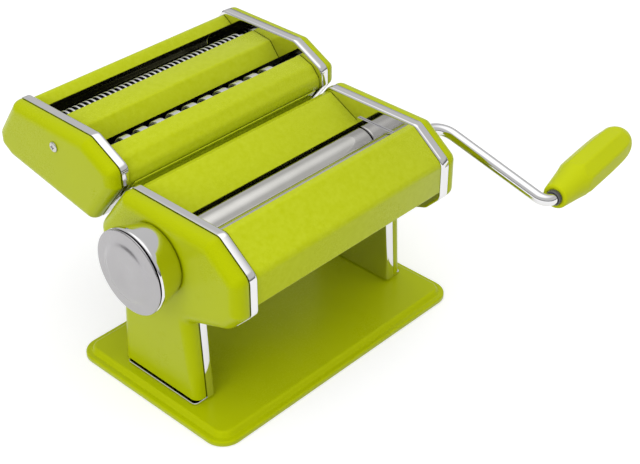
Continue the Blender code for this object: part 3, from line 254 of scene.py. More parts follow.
def make_finish(name, dark, light, rough, cloud=25.0, grain=(900, 900, 900), bump=0.10, depth=0.00005,
                edge_wear_and_highlight=(0.2, 0.2, 0.2), worn_amount=0.6, painted_shade=None, **shader_values):
    """A node material: dark and light are the two ends of its colour, rough of its roughness."""
    material = bpy.data.materials.new(name)
    material.use_nodes = True
    tree = material.node_tree
    shader = tree.nodes["Principled BSDF"]
    for label, value in shader_values.items():
        shader.inputs[label.replace("_", " ")].default_value = value
    clouds = put_group(tree, CLOUD_GROUP, Colour_A=(*dark, 1), Colour_B=(*light, 1), Scale=cloud,
                       Rough_Low=rough[0], Rough_High=rough[1])
    # the edge colour is partly wear and partly a painted highlight
    colour = tinted(tree, clouds.outputs["Colour"], EDGE_GROUP, edge_wear_and_highlight, Amount=worn_amount)
    # the marked faces take painted shade
    if painted_shade:
        colour = tinted(tree, colour, PAINTED_SHADE_GROUP, painted_shade)
    grains = put_group(tree, GRAIN_GROUP, Stretch=grain, Contrast=1.0)
    streaked = math_node(tree, "MULTIPLY_ADD", grains.outputs["Streaks"], STREAK_SHARE,
                         clouds.outputs["Roughness"])
    relief = put_node(tree, "ShaderNodeBump", Strength=bump, Distance=depth)
    join_all(tree, (colour, shader.inputs["Base Color"]), (streaked, shader.inputs["Roughness"]),
             (grains.outputs["Height"], relief.inputs["Height"]),
             (relief.outputs["Normal"], shader.inputs["Normal"]))
    return material


# %% [markdown]
# The lacquer is a clear, strong lime green with a soft gloss and hardly any orange peel. The same paint
# covers the tray, the covers and the panels. Its gloss is tinted by the pigment, so even the highlights
# stay yellow green and the colour stays saturated.

# %% Lime lacquer
# the brighter lime on softened edges is partly wear and partly a painted highlight; the near black on marked
# faces is painted shade
LIME_LACQUER = make_finish(
    "lime_lacquer", dark=(0.440, 0.515, 0.0004), light=(0.475, 0.548, 0.0006), rough=(0.24, 0.31),
    cloud=14.0, grain=(650,) * 3, bump=0.05, depth=0.00006,
    edge_wear_and_highlight=(0.56, 0.64, 0.03), worn_amount=0.9, painted_shade=(0.012, 0.012, 0.010), Specular_IOR_Level=0.30,
    Specular_Tint=(1.0, 1.0, 0.12, 1.0))

# %% [markdown]
# The side plates, the knob's skirt and the crank are nickel-chrome plated: nearly a mirror, with faint
# wiping marks. The rollers are ground steel, the knob's face is satin, and small hardware is zinc.

# %% Metals
# each metal's edge colour is partly wear and partly a painted highlight; the near black for marked faces of
# chrome, satin and cutter steel is painted shade
CHROME_PLATE = make_finish(
    "chrome_plate", dark=(0.73, 0.725, 0.735), light=(0.79, 0.785, 0.790), rough=(0.030, 0.070),
    cloud=40.0, grain=(160, 500, 500), bump=0.03, depth=0.00002, edge_wear_and_highlight=(0.93, 0.93, 0.93),
    painted_shade=(0.015, 0.015, 0.015), Metallic=1.0)
GROUND_STEEL = make_finish(
    "ground_steel", dark=(0.56, 0.55, 0.52), light=(0.70, 0.69, 0.66), rough=(0.05, 0.12),
    cloud=62.0, grain=(5200, 60, 60), bump=0.12, depth=0.00004, edge_wear_and_highlight=(0.90, 0.90, 0.88), Metallic=1.0)
SATIN_FACE = make_finish(
    "satin_face", dark=(0.38, 0.37, 0.38), light=(0.47, 0.46, 0.47), rough=(0.20, 0.26),
    cloud=60.0, grain=(500, 2600, 2600), bump=0.08, depth=0.00003, edge_wear_and_highlight=(0.85, 0.85, 0.85),
    painted_shade=(0.015, 0.015, 0.015), Metallic=1.0)
ZINC_PLATE = make_finish(
    "zinc_plate", dark=(0.50, 0.50, 0.49), light=(0.66, 0.66, 0.64), rough=(0.22, 0.36),
    cloud=120.0, grain=(1200,) * 3, bump=0.08, depth=0.00004, edge_wear_and_highlight=(0.80, 0.80, 0.78), Metallic=1.0)
CUTTER_STEEL = make_finish(
    "cutter_steel", dark=(0.72, 0.72, 0.72), light=(0.84, 0.84, 0.84), rough=(0.30, 0.42),
    cloud=90.0, grain=(3000, 400, 400), depth=0.00004, edge_wear_and_highlight=(0.90, 0.90, 0.88),
    painted_shade=(0.020, 0.019, 0.018), Metallic=1.0)
SPRING_STEEL = make_finish(
    "spring_steel", dark=(0.36, 0.36, 0.35), light=(0.50, 0.50, 0.49), rough=(0.24, 0.34),
    cloud=80.0, grain=(120, 1800, 1800), bump=0.08, depth=0.00004, edge_wear_and_highlight=(0.72, 0.72, 0.70), Metallic=1.0)

# %% [markdown]
# The grip is through-coloured plastic in the same lime, less glossy than the lacquer and with a fine
# moulded skin. Bushes and gears are natural nylon, combs and the grip's sleeve are dark plastic.

# %% Plastics and rubber
# the edge colours of the plastics and rubber are partly wear and partly a painted highlight
LIME_PLASTIC = make_finish(
    "lime_plastic", dark=(0.520, 0.590, 0.004), light=(0.575, 0.640, 0.007), rough=(0.36, 0.44),
    cloud=30.0, grain=(1500,) * 3, edge_wear_and_highlight=(0.62, 0.68, 0.05), Specular_IOR_Level=0.15,
    Specular_Tint=(1.0, 1.0, 0.25, 1.0))
WHITE_NYLON = make_finish(
    "white_nylon", dark=(0.70, 0.68, 0.61), light=(0.80, 0.785, 0.73), rough=(0.38, 0.50),
    cloud=60.0, grain=(1400,) * 3, edge_wear_and_highlight=(0.86, 0.85, 0.82), Subsurface_Weight=0.08,
    Subsurface_Scale=0.001)
DARK_PLASTIC = make_finish(
    "dark_plastic", dark=(0.022, 0.022, 0.024), light=(0.040, 0.040, 0.043), rough=(0.40, 0.52),
    cloud=60.0, grain=(1800,) * 3, bump=0.16, edge_wear_and_highlight=(0.09, 0.09, 0.09), worn_amount=0.8)
GREY_SLEEVE = make_finish(
    "grey_sleeve", dark=(0.080, 0.080, 0.088), light=(0.120, 0.120, 0.128), rough=(0.34, 0.46),
    cloud=80.0, grain=(1600,) * 3, edge_wear_and_highlight=(0.20, 0.20, 0.20))
FOOT_RUBBER = make_finish(
    "foot_rubber", dark=(0.020, 0.020, 0.020), light=(0.042, 0.041, 0.040), rough=(0.70, 0.86),
    cloud=110.0, grain=(1300,) * 3, bump=0.30, depth=0.00008, edge_wear_and_highlight=(0.10, 0.10, 0.10))
print("finishes:", len(bpy.data.materials))

# %% [markdown]
# ## Drawing tools
# Most of this machine is folded sheet, so one idea carries it: a side-view outline with rounded corners,
# carried along X. Each bend gets eight steps, and a support point stands just beside every bend. Without
# that point the shading of a flat face would lean towards the bend and look dented.

# %% Rounded outlines
BEND_STEPS, SUPPORT = 8, 0.0004
SIDES = ((-1, "left"), (1, "right"))


def held(least, value, most):
    """A value kept between two others."""
    return max(least, min(most, value))


def quarter(steps):
    """Evenly spaced angles over a quarter turn, both ends included."""
    return [pi / 2 * k / steps for k in range(steps + 1)]


def arc_corner(corner, before, after, radius, steps=BEND_STEPS):
    """The points that round one corner, with a support point on the straight at each side."""
    p, a, b = (Vector(point[:2]) for point in (corner, before, after))
    u, v = (a - p).normalized(), (b - p).normalized()
    half = acos(held(-1.0, u.dot(v), 1.0)) / 2
    if half > pi / 2 - 1e-4 or radius == 0.0:
        return [p]
    reach = min(radius / tan(half), (a - p).length * 0.47, (b - p).length * 0.47)
    radius = reach * tan(half)
    centre = p + (u + v).normalized() * (radius / sin(half))
    start = p + u * reach - centre
    side = 1.0 if u.x * v.y - u.y * v.x < 0 else -1.0
    turn = side * (pi - 2 * half)
    across = Vector((-start.y, start.x))
    arc = [centre + start * cos(turn * i / steps) + across * sin(turn * i / steps) for i in range(steps + 1)]
    step_out = min(SUPPORT, 0.02 * (a - p).length), min(SUPPORT, 0.02 * (b - p).length)
    return [arc[0] + u * step_out[0]] + arc + [arc[-1] + v * step_out[1]]


def neighbours(corners, i):
    """The corner before, the corner itself and the one after, round a closed outline."""
    return (Vector(corners[(i + k) % len(corners)][:2]) for k in (-1, 0, 1))


def mitred(point, d1, d2, distance):
    """A corner moved to the left of the two unit directions that meet there."""
    n1, n2 = Vector((-d1.y, d1.x)), Vector((-d2.y, d2.x))
    return point + (n1 + n2) * (distance / (1 + n1.dot(n2)))


def moved_corners(corners, inset):
    """The corners of a counter-clockwise outline, moved inward."""
    moved = []
    for i in range(len(corners)):
        a, b, c = neighbours(corners, i)
        moved.append(mitred(b, (b - a).normalized(), (c - b).normalized(), inset))
    return moved


def rounded_outline(corners, inset=0.0, least=0.0004, steps=BEND_STEPS):
    """A closed outline with each (y, z, radius) corner rounded, at an inset."""
    moved = moved_corners(corners, inset)
    points = []
    for i in range(len(corners)):
        a, b, c = neighbours(corners, i)
        d1, d2 = b - a, c - b
        convex = d1.x * d2.y - d1.y * d2.x > 0
        radius = max(corners[i][2] - inset if convex else corners[i][2] + inset, least)
        points += arc_corner(moved[i], moved[i - 1], moved[(i + 1) % len(corners)], radius, steps)
    return points


def rounded_path(corners, steps=BEND_STEPS):
    """An open path with each inner (y, z, radius) corner rounded."""
    points = [Vector(corners[0][:2])]
    for before, corner, after in zip(corners, corners[1:], corners[2:]):
        points += arc_corner(corner, before, after, corner[2], steps)
    return points + [Vector(corners[-1][:2])]


print("one bend takes", len(arc_corner((1, 0), (0, 0), (1, 1), 0.1)), "points")


# %% [markdown]
# Loops of points become solids in three ways: lofted from loop to loop, folded as a sheet whose path is
# its outer face, or turned about a line along X. A turned radius may be a function of the angle.

# %% Solids
def outward(bm):
    """The same mesh with all its faces turned outward."""
    bmesh.ops.recalc_face_normals(bm, faces=bm.faces)
    return bm


def mark_painted_shade(bm, numbers):
    """Marks faces by number for painted shade: adding the layer renews the faces, so none can be held across
    it.
    """
    layer = bm.faces.layers.float.get("painted_shade") or bm.faces.layers.float.new("painted_shade")
    bm.faces.ensure_lookup_table()
    for number in numbers:
        bm.faces[number][layer] = 1.0


def lofted(loops):
    bm = bmesh.new()
    rings = [[bm.verts.new(point) for point in loop] for loop in loops]
    for first, second in zip(rings, rings[1:]):
        for i in range(len(first)):
            j = (i + 1) % len(first)
            bm.faces.new((first[i], first[j], second[j], second[i]))
    bm.faces.new(rings[0])
    bm.faces.new(rings[-1])
    return bm


def side_loop(outline, x):
    return [(x, point.x, point.y) for point in outline]


def extruded(outline, x_from, x_to):
    return lofted([side_loop(outline, x_from), side_loop(outline, x_to)])


def folded_sheet(path, thickness, half_width):
    inner = []
    last = len(path) - 1
    for i, point in enumerate(path):
        d1 = (path[i] - path[i - 1]).normalized() if i > 0 else (path[1] - path[0]).normalized()
        d2 = (path[i + 1] - path[i]).normalized() if i < last else d1
        inner.append(mitred(point, d1, d2, thickness))
    bm = extruded(path + inner[::-1], -half_width, half_width)
    # the inner face of the sheet is painted dark as painted shade
    mark_painted_shade(bm, range(len(path), 2 * len(path) - 1))
    return bm


def sided(side, profile):
    """A profile of (x, radius) points on the right side, or mirrored to the left."""
    return [(side * x, radius) for x, radius in profile]


def mirrored(half):
    """A whole profile from its right half."""
    return sided(-1, half[::-1]) + half


def turned(profile, sides, axis=(0.0, 0.0), ring=False):
    """A profile of (x, radius) points turned about a line along X."""
    bm = bmesh.new()
    loops = []
    for x, radius in profile:
        if radius == 0.0:
            loops.append([bm.verts.new((x, axis[0], axis[1]))])
            continue
        loop = []
        for k in range(sides):
            a = 2 * pi * k / sides
            r = radius(a) if callable(radius) else radius
            loop.append(bm.verts.new((x, axis[0] + r * cos(a), axis[1] + r * sin(a))))
        loops.append(loop)
    pairs = list(zip(loops, loops[1:])) + ([(loops[-1], loops[0])] if ring else [])
    for first, second in pairs:
        for k in range(sides):
            j = (k + 1) % sides
            corners = [first[0]] if len(first) == 1 else [first[k], first[j]]
            corners += [second[0]] if len(second) == 1 else [second[j], second[k]]
            bm.faces.new(corners)
    if not ring:
        for loop in (loops[0], loops[-1]):
            if len(loop) > 1:
                bm.faces.new(loop)
    return bm


def block(low, high):
    bm = bmesh.new()
    bmesh.ops.create_cube(bm, size=1.0)
    low, high = Vector(low), Vector(high)
    bmesh.ops.scale(bm, vec=high - low, verts=bm.verts)
    bmesh.ops.translate(bm, vec=(high + low) / 2, verts=bm.verts)
    return bm


def smooth_profile(points, steps=5):
    """More stations on a soft curve through (x, radius) points."""
    stations = []
    padded = [points[0]] + list(points) + [points[-1]]
    for p0, p1, p2, p3 in zip(padded, padded[1:], padded[2:], padded[3:]):
        for k in range(steps):
            t = k / steps
            stations.append(tuple(
                0.5 * (2 * b + (c - a) * t + (2 * a - 5 * b + 4 * c - d) * t * t
                       + (3 * b - a - 3 * c + d) * t ** 3)
                for a, b, c, d in zip(p0, p1, p2, p3)))
    return stations + [points[-1]]


# %% [markdown]
# A finished piece goes through one door. It softens and marks the sharp edges, moves to the machine's
# place, takes its finish, rides on its body and stands for its solid. Holes are cut by a Boolean that is
# made part of the mesh at once, so nothing live is left on the piece. The door reports every piece.

# %% Finishing a piece
def baked(obj):
    """Makes an object's modifiers part of its mesh."""
    graph = bpy.context.evaluated_depsgraph_get()
    graph.update()
    mesh = bpy.data.meshes.new_from_object(obj.evaluated_get(graph), depsgraph=graph)
    obj.modifiers.clear()
    if obj.type == "MESH":
        obj.data = mesh
    return mesh


def soften_edges(bm, width, angle):
    """Rounds the sharp edges of a mesh and marks the new faces with the attribute edge."""
    layer = bm.verts.layers.float.new("edge")
    if width == 0.0:
        return
    sharp = [e for e in bm.edges if e.is_manifold and e.calc_face_angle(0.0) > radians(angle)]
    made = bmesh.ops.bevel(bm, geom=sharp, offset=width, offset_type="OFFSET", segments=2, profile=0.5,
                           affect="EDGES", clamp_overlap=True)
    for vertex in made["verts"]:
        vertex[layer] = 1.0


def make_mesh_object(name, bm):
    mesh = bpy.data.meshes.new(name)
    bm.to_mesh(mesh)
    bm.free()
    obj = bpy.data.objects.new(name, mesh)
    bpy.context.scene.collection.objects.link(obj)
    return obj


def cut_holes(obj, *tools):
    for number, tool_bm in enumerate(tools):
        tool = make_mesh_object(f"hole_{number}", outward(tool_bm))
        tool.data.transform(MACHINE)
        boolean = obj.modifiers.new("hole", "BOOLEAN")
        boolean.operation, boolean.solver, boolean.object = "DIFFERENCE", "EXACT", tool
        baked(obj)
        bpy.data.objects.remove(tool, do_unlink=True)


def add_part(obj, bm, holes):
    """Adds one more closed mesh to a piece, cut on its own so that no cut mixes two solids."""
    outward(bm).transform(MACHINE)
    part = make_mesh_object("part", bm)
    cut_holes(part, *holes)
    whole = bmesh.new()
    whole.from_mesh(obj.data)
    whole.from_mesh(part.data)
    whole.to_mesh(obj.data)
    whole.free()
    bpy.data.objects.remove(part, do_unlink=True)


def dress(name, bm, finish, body, nodes, soften=0.0, angle=35.0, holes=(), parts=()):
    """Puts a drawn mesh in place of its CAD nodes, on their body; parts are (mesh, holes) added to it.

    soften is the width of the rounding on edges sharper than angle; the profiles that are drawn with
    their own rounding need none.
    """
    soften_edges(outward(bm), soften, angle)
    bm.transform(MACHINE)
    obj = make_mesh_object(name, bm)
    cut_holes(obj, *holes)
    for part, part_holes in parts:
        add_part(obj, part, part_holes)
    obj.data.materials.clear()
    obj.data.materials.append(finish)
    obj.data.shade_smooth()
    obj.data.set_sharp_from_angle(angle=radians(angle))
    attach(obj, body)
    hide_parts(*([nodes] if isinstance(nodes, str) else nodes))
    print(f"{name}: {len(obj.data.polygons)} faces of {finish.name} on {body}")
    return obj


# %% [markdown]
# ## Base tray
# A pressed tray with a turned-down rim, a narrow ledge and a rounded step up to its flat top. It is
# lofted from rounded rectangles; the section of the press is one rounded path of (inset, height) points.

# %% Base tray
GAP = 0.0003
BASE_LENGTH, BASE_DEPTH, BASE_TOP, BASE_SHEET = 0.2068, 0.1304, 0.0070, 0.0010
LEDGE_HEIGHT, LEDGE_WIDTH, STEP_WIDTH, BASE_CLEARANCE = 0.0038, 0.0036, 0.0034, 0.0005
TRAY_GROWTH, TRAY_CORNER = 0.0008, 0.0130


def tray_loop(inset, z):
    half_x, half_y = BASE_LENGTH / 2 + TRAY_GROWTH - inset, BASE_DEPTH / 2 + TRAY_GROWTH - inset
    radius = TRAY_CORNER - inset
    corners = [(-half_x, -half_y, radius), (half_x, -half_y, radius), (half_x, half_y, radius),
               (-half_x, half_y, radius)]
    return [(p.x, p.y, z) for p in rounded_outline(corners, 0.0, 0.001, 12)]


def make_base():
    flat = LEDGE_WIDTH + STEP_WIDTH
    outer = rounded_path([(0.0, BASE_CLEARANCE, 0), (0.0, LEDGE_HEIGHT, 0.0011),
                          (LEDGE_WIDTH, LEDGE_HEIGHT, 0.0006), (flat - 0.0014, BASE_TOP, 0.0024),
                          (flat + 0.0012, BASE_TOP, 0)], 6)
    inner = [(flat + 0.0011, BASE_TOP - BASE_SHEET), (flat - 0.0014, BASE_TOP - 1.1 * BASE_SHEET),
             (LEDGE_WIDTH + 1.2 * BASE_SHEET, LEDGE_HEIGHT - BASE_SHEET),
             (BASE_SHEET, LEDGE_HEIGHT - BASE_SHEET), (BASE_SHEET, BASE_CLEARANCE)]
    outer_loops = [tray_loop(p.x, p.y) for p in outer[::-1]]
    loops = outer_loops + [tray_loop(*p) for p in inner[::-1]]
    dress("base_tray", lofted(loops), LIME_LACQUER, "machine", "base_plate", soften=0.00015,
          angle=50.0)


make_base()

# %% [markdown]
# ## Geometry Nodes for what repeats
# Feet, cutter rings and comb fingers are all one small shape set out at even steps. One tree does it: it
# takes the object's own mesh, places it on a line of points, makes the copies real and gives them their
# finish. A tree's numbers are set by the socket's identifier before it first runs. Every tree here opens
# with the same two sockets, for mesh and finish, and ends with the same two nodes.

# %% Tree: even steps
def open_tree(name, *numbers):
    """A Geometry Nodes tree that takes a mesh, some numbers and a finish."""
    geometry, finish = "NodeSocketGeometry", "NodeSocketMaterial"
    inputs = [("Geometry", geometry, None), *numbers, ("Material", finish, None)]
    return open_group(name, inputs, [("Geometry", geometry)], "GeometryNodeTree")


def end_tree(tree, entry, result, *nodes):
    """Joins a row of nodes, makes its copies real, sets the finish and ends the tree."""
    real = put_node(tree, "GeometryNodeRealizeInstances")
    paint = put_node(tree, "GeometryNodeSetMaterial")
    chain(tree, *nodes, real, paint, result)
    join(tree, entry.outputs["Material"], paint.inputs["Material"])
    return tree


def make_step_tree():
    tree, entry, result = open_tree("even_steps", ("Count", WHOLE, 2), ("Step", VECTOR, (0.01, 0, 0)))
    line = put_node(tree, "GeometryNodeMeshLine")
    place = put_node(tree, "GeometryNodeInstanceOnPoints")
    join_all(tree, (entry.outputs["Count"], line.inputs["Count"]),
             (entry.outputs["Step"], line.inputs["Offset"]),
             (entry.outputs["Geometry"], place.inputs["Instance"]))
    return end_tree(tree, entry, result, line, place)


STEP_TREE = make_step_tree()


def set_inputs(modifier, **values):
    """Sets a Geometry Nodes modifier's inputs by the identifiers of their sockets."""
    for item in modifier.node_group.interface.items_tree:
        if item.item_type == "SOCKET" and item.in_out == "INPUT":
            key = item.name.replace(" ", "_")
            if key in values:
                modifier[item.identifier] = values[key]


def grown(obj, tree, **values):
    """Runs a tree on an object and returns the result as a bmesh; the helper object goes."""
    modifier = obj.modifiers.new(tree.name, "NODES")
    modifier.node_group = tree
    set_inputs(modifier, **values)
    mesh = baked(obj)
    bm = bmesh.new()
    bm.from_mesh(mesh)
    bpy.data.objects.remove(obj, do_unlink=True)
    return bm


def in_steps(bm, count, step, finish):
    copy = make_mesh_object("one_copy", outward(bm))
    return grown(copy, STEP_TREE, Count=count, Step=step, Material=finish)


def merged(*meshes):
    """Several drawn meshes as one."""
    whole = bmesh.new()
    for bm in meshes:
        carrier = bpy.data.meshes.new("carrier")
        bm.to_mesh(carrier)
        bm.free()
        whole.from_mesh(carrier)
        bpy.data.meshes.remove(carrier)
    return whole


# %% [markdown]
# ## Rubber feet
# Four round pads hold the tray off the table. Each has a rounded sole edge and a shallow ring in the
# sole. One pad is turned, and the tree sets two rows of two.

# %% Rubber feet
FOOT_RADIUS, FOOT_INSET = 0.0070, 0.0200


def make_foot(x, y):
    top = BASE_TOP - BASE_SHEET - GAP
    profile = [(0.0004, 0.0), (0.0004, 0.0030), (0.0, 0.0034), (0.0, 0.0058), (0.0002, 0.0063),
               (0.0006, 0.0068), (0.0012, FOOT_RADIUS), (top - 0.0004, FOOT_RADIUS + 0.0005),
               (top, FOOT_RADIUS), (top, 0.0)]
    bm = turned(profile, 40)
    bm.transform(Matrix.Translation((x, y, 0.0)) @ Matrix.Rotation(-pi / 2, 4, "Y"))
    return bm


def make_feet():
    x, y = BASE_LENGTH / 2 - FOOT_INSET, BASE_DEPTH / 2 - FOOT_INSET
    rows = [in_steps(make_foot(-x, side * y), 2, (2 * x, 0, 0), FOOT_RUBBER) for side in (-1, 1)]
    nodes = [f"rubber_foot_{end}_{side}" for end in ("front", "rear") for side in ("left", "right")]
    return dress("rubber_feet", merged(*rows), FOOT_RUBBER, "machine", nodes)


feet = make_feet()
print("feet stand at z =", round(min(v.co.z for v in feet.data.vertices), 5))

# %% [markdown]
# ## Outlines of the two ends
# The body's ends are an octagon on a leg. The attachment's ends are a flatter octagon whose front lower
# side follows the body's rear slope, 3 mm away from it, where the attachment hangs.

# %% End outlines
BODY_TOP, BODY_FRONT, BODY_REAR = 0.1338, -0.0725, 0.0452
TOP_REAR_Y, SHOULDER_REAR_Z = 0.0225, 0.1040
LEG_FRONT_Y, LEG_REAR_Y, LEG_TOP_Z = -0.0290, 0.0300, 0.0670
SLOPE_ANGLE = atan2(BODY_TOP - SHOULDER_REAR_Z, BODY_REAR - TOP_REAR_Y)
NEST_GAP = 0.0030


def body_corners(foot_z):
    return [(-0.0496, BODY_TOP, 0.006), (BODY_FRONT, 0.1160, 0.008), (BODY_FRONT, 0.0908, 0.006),
            (BODY_FRONT + 0.012, 0.0785, 0.006), (LEG_FRONT_Y, LEG_TOP_Z, 0.0036),
            (LEG_FRONT_Y - 0.054 * (LEG_TOP_Z - foot_z), foot_z, 0.002),
            (LEG_REAR_Y + 0.084 * (LEG_TOP_Z - foot_z), foot_z, 0.002), (LEG_REAR_Y, LEG_TOP_Z, 0.0036),
            (BODY_REAR - 0.009, 0.0785, 0.006), (BODY_REAR, 0.0908, 0.006),
            (BODY_REAR, SHOULDER_REAR_Z, 0.008), (TOP_REAR_Y, BODY_TOP, 0.006)]


def nest_line(z):
    along = (BODY_REAR - TOP_REAR_Y) / (BODY_TOP - SHOULDER_REAR_Z)
    return TOP_REAR_Y + along * (BODY_TOP - z) + NEST_GAP / sin(SLOPE_ANGLE)


def cutter_corners():
    along = (BODY_REAR - TOP_REAR_Y) / (BODY_TOP - SHOULDER_REAR_Z)
    tail_y, tail_z, rise = 0.1280, BODY_TOP - 0.0215, 0.1764
    heel_z = tail_z + rise * (nest_line(tail_z) - tail_y) / (1 + rise * along)
    nose_z = BODY_TOP - (0.0290 - TOP_REAR_Y - NEST_GAP / sin(SLOPE_ANGLE)) / along
    return [(0.0530, 0.1550, 0.006), (0.0290, 0.1425, 0.006), (0.0290, nose_z, 0.0036),
            (nest_line(heel_z), heel_z, 0.006), (tail_y, tail_z, 0.006), (0.1382, 0.1190, 0.006),
            (0.1382, 0.1290, 0.006), (0.1200, 0.1550, 0.006)]


# %% [markdown]
# ## Bright side plates
# Each plate is a flat sheet whose edge is folded outward into a 6 mm flange. That flange is the bright
# band beside every green cover. At the foot a wider tongue with a bright edge lies on the tray, and the
# cover stops just above it. The plates carry the bearings, so holes for journals, rods and bushes are
# cut through them. A thin bright liner beside the rollers closes the end of the nip; its top edge shows
# as a fine line.

# %% Side plates
HALF_INNER, CUTTER_HALF = 0.0780, 0.0790
PLATE_SHEET, FLANGE_WIDTH, FLANGE_BEND = 0.0012, 0.0060, 0.0016
ROLLER_RADIUS, JOURNAL_RADIUS, CARRIER_TRAVEL = 0.0120, 0.0050, 0.0022
ROLLER_SPACING, NIP_TILT = 2 * ROLLER_RADIUS + 0.0006, radians(10.3)
REAR_AXIS = (-0.0085, 0.1046)
FRONT_AXIS = (REAR_AXIS[0] - ROLLER_SPACING * cos(NIP_TILT),
              REAR_AXIS[1] + ROLLER_SPACING * sin(NIP_TILT))
KNOB_AXIS = (REAR_AXIS[0] + CARRIER_TRAVEL / 2, REAR_AXIS[1])
BUSH_RADIUS, STUD_RADIUS, SOCKET_RADIUS, SOCKET_BORE = 0.0075, 0.0020, 0.0064, 0.0042
BODY_RODS = {"front_low": (-0.0540, 0.0900), "rear_low": (0.0110, 0.0840), "front_top": (-0.0550, 0.1190)}
CUTTER_JOURNAL, CUTTER_RADIUS, CUTTER_CORE = 0.0036, 0.0085, 0.0065
PAIR_ANGLE = radians(-30.0)
PAIR_SPACING = CUTTER_RADIUS + CUTTER_CORE + GAP
FRONT_CUTTERS = {"fine": (0.0950, 0.1402), "wide": (0.0520, 0.1362)}


def cutter_axis(name, role):
    y, z = FRONT_CUTTERS[name]
    away = PAIR_SPACING if role == "rear" else 0.0
    return (y + away * cos(PAIR_ANGLE), z + away * sin(PAIR_ANGLE))


def cutter_rods():
    inset = moved_corners(cutter_corners(), 0.0085)
    return {"front": inset[3][:], "rear": inset[4][:]}


def bore(side, x_from, x_to, axis, radius, sides=40):
    return turned(sorted([(side * x_from, radius), (side * x_to, radius)]), sides, axis)


def plate_mesh(side, corners, inner):
    rim, bend = inner + FLANGE_WIDTH, FLANGE_BEND
    section = [(bend + 0.0004, inner)]
    section += [(bend * (1 - sin(a)), inner + bend * (1 - cos(a))) for a in quarter(5)]
    section += [(0.0, inner + bend + 0.0004), (0.0, rim - 0.0002), (0.0001, rim),
                (PLATE_SHEET - 0.0001, rim), (PLATE_SHEET, rim - 0.0002), (PLATE_SHEET, inner + PLATE_SHEET)]
    return lofted([side_loop(rounded_outline(corners, inset), side * x) for inset, x in section])


LINER_SHEET, LINER_TOP = 0.0012, 0.1222
LINER_FRONT, LINER_REAR, LINER_LOW, LINER_STEP = -0.0465, 0.0060, 0.0860, (-0.0036, 0.1165)
TONGUE_REACH, TONGUE_SHEET = HALF_INNER + 0.0151, 0.0012


def make_tongue(side):
    """The plate's foot: a tongue with rounded outer corners that lies on the tray."""
    near, low, front = HALF_INNER + 2 * PLATE_SHEET, BASE_TOP + GAP, LEG_FRONT_Y - 0.0018
    corners = [(near, front, 0.0003), (TONGUE_REACH, front, 0.0030), (TONGUE_REACH, -front, 0.0030),
               (near, -front, 0.0003)]
    top = low + TONGUE_SHEET
    levels = [(0.0, low), (0.0, top - 0.0003), (0.0003, top), (0.0009, top)]
    bm = lofted([[(side * p.x, p.y, z) for p in rounded_outline(corners, inset, 0.0003, 6)]
                 for inset, z in levels])
    # the tongue's top face, under the cover, is painted dark as painted shade
    mark_painted_shade(bm, [len(bm.faces) - 1])
    return bm


def make_liner(side):
    face, (step_y, step_z) = HALF_INNER - GAP / 2, LINER_STEP
    corners = [(LINER_FRONT, LINER_LOW, 0.002), (LINER_REAR, LINER_LOW, 0.002),
               (LINER_REAR, step_z, 0.001), (step_y, step_z, 0.001), (step_y, LINER_TOP, 0.0006),
               (LINER_FRONT, LINER_TOP, 0.0006)]
    outline = rounded_outline(corners, 0.0, 0.0003, 4)
    return extruded(outline, side * (face - LINER_SHEET), side * face)


def plate_bores(side, inner, places):
    """Holes through one plate for (centre, radius, sides) places."""
    return [bore(side, inner - 0.005, inner + 2 * PLATE_SHEET, *place) for place in places]


def make_plates():
    bearings = [(FRONT_AXIS, BUSH_RADIUS + GAP, 40),
                (KNOB_AXIS, JOURNAL_RADIUS + CARRIER_TRAVEL / 2 + 2 * GAP, 40)]
    body_places = bearings + [(centre, STUD_RADIUS + GAP, 16) for centre in BODY_RODS.values()]
    cutter_places = [(cutter_axis(name, role), CUTTER_JOURNAL + 2 * GAP, 32)
                     for name in FRONT_CUTTERS for role in ("front", "rear")]
    cutter_places += [(centre, STUD_RADIUS + GAP, 16) for centre in cutter_rods().values()]
    for side, label in SIDES:
        dress(f"bright_plate_{label}", plate_mesh(side, body_corners(BASE_TOP + GAP), HALF_INNER),
              CHROME_PLATE, "machine", f"side_plate_{label}",
              holes=plate_bores(side, HALF_INNER, body_places),
              parts=[(make_tongue(side), []), (make_liner(side), plate_bores(side, HALF_INNER, bearings))])
        dress(f"bright_cutter_plate_{label}", plate_mesh(side, cutter_corners(), CUTTER_HALF),
              CHROME_PLATE, "cutter_head", f"cutter_plate_{label}",
              holes=plate_bores(side, CUTTER_HALF, cutter_places))


make_plates()

# %% [markdown]
# ## Green covers
# The covers are pressed shells whose face runs softly over into the side wall. Each is lofted through
# rounded outlines on a quarter circle. The outline corners keep a few millimetres of radius up to the
# face, as a pressed sheet does, so that no corner ends in a point. Down the leg the face draws in a
# little and its edges get crisper.

# %% Covers
COVER_WALL, COVER_PLAY, FACE_STEPS = 0.0012, 0.0004, 12
COVER_FACE, COVER_EDGE, COVER_PROUD = HALF_INNER + 0.0160, 0.0076, 0.0004
CUTTER_FACE, CUTTER_EDGE = CUTTER_HALF + 0.0145, 0.0070
COVER_SCREW = (0.0797, BODY_TOP + 0.0067)
FOOT_FACE, FOOT_EDGE, TAPER_TOP = COVER_FACE - 0.0022, 0.0050, 0.0720


def cover_section(inner, face, edge):
    """(inset, x) points from the face over the rounding to the nested lip, and back inside."""
    nest, proud = PLATE_SHEET + COVER_PLAY, COVER_PROUD
    start, lip = inner + PLATE_SHEET + COVER_PLAY * 2, inner + FLANGE_WIDTH + COVER_PLAY
    under = nest + COVER_WALL
    outer = [(nest, start), (nest, lip), (proud + 0.0004, lip), (proud, lip + 0.0004),
             (proud, face - edge - 0.0004)]
    outer += [(proud + edge * (1 - cos(a)), face - edge + edge * sin(a)) for a in quarter(FACE_STEPS)]
    outer.append((proud + edge + 0.0005, face))
    inside = [(under, start)]
    inside += [(under + (proud + edge - under) * (1 - cos(a)), face - edge + (edge - COVER_WALL) * sin(a))
               for a in quarter(FACE_STEPS)[::3]]
    return outer[::-1] + inside, len(outer)


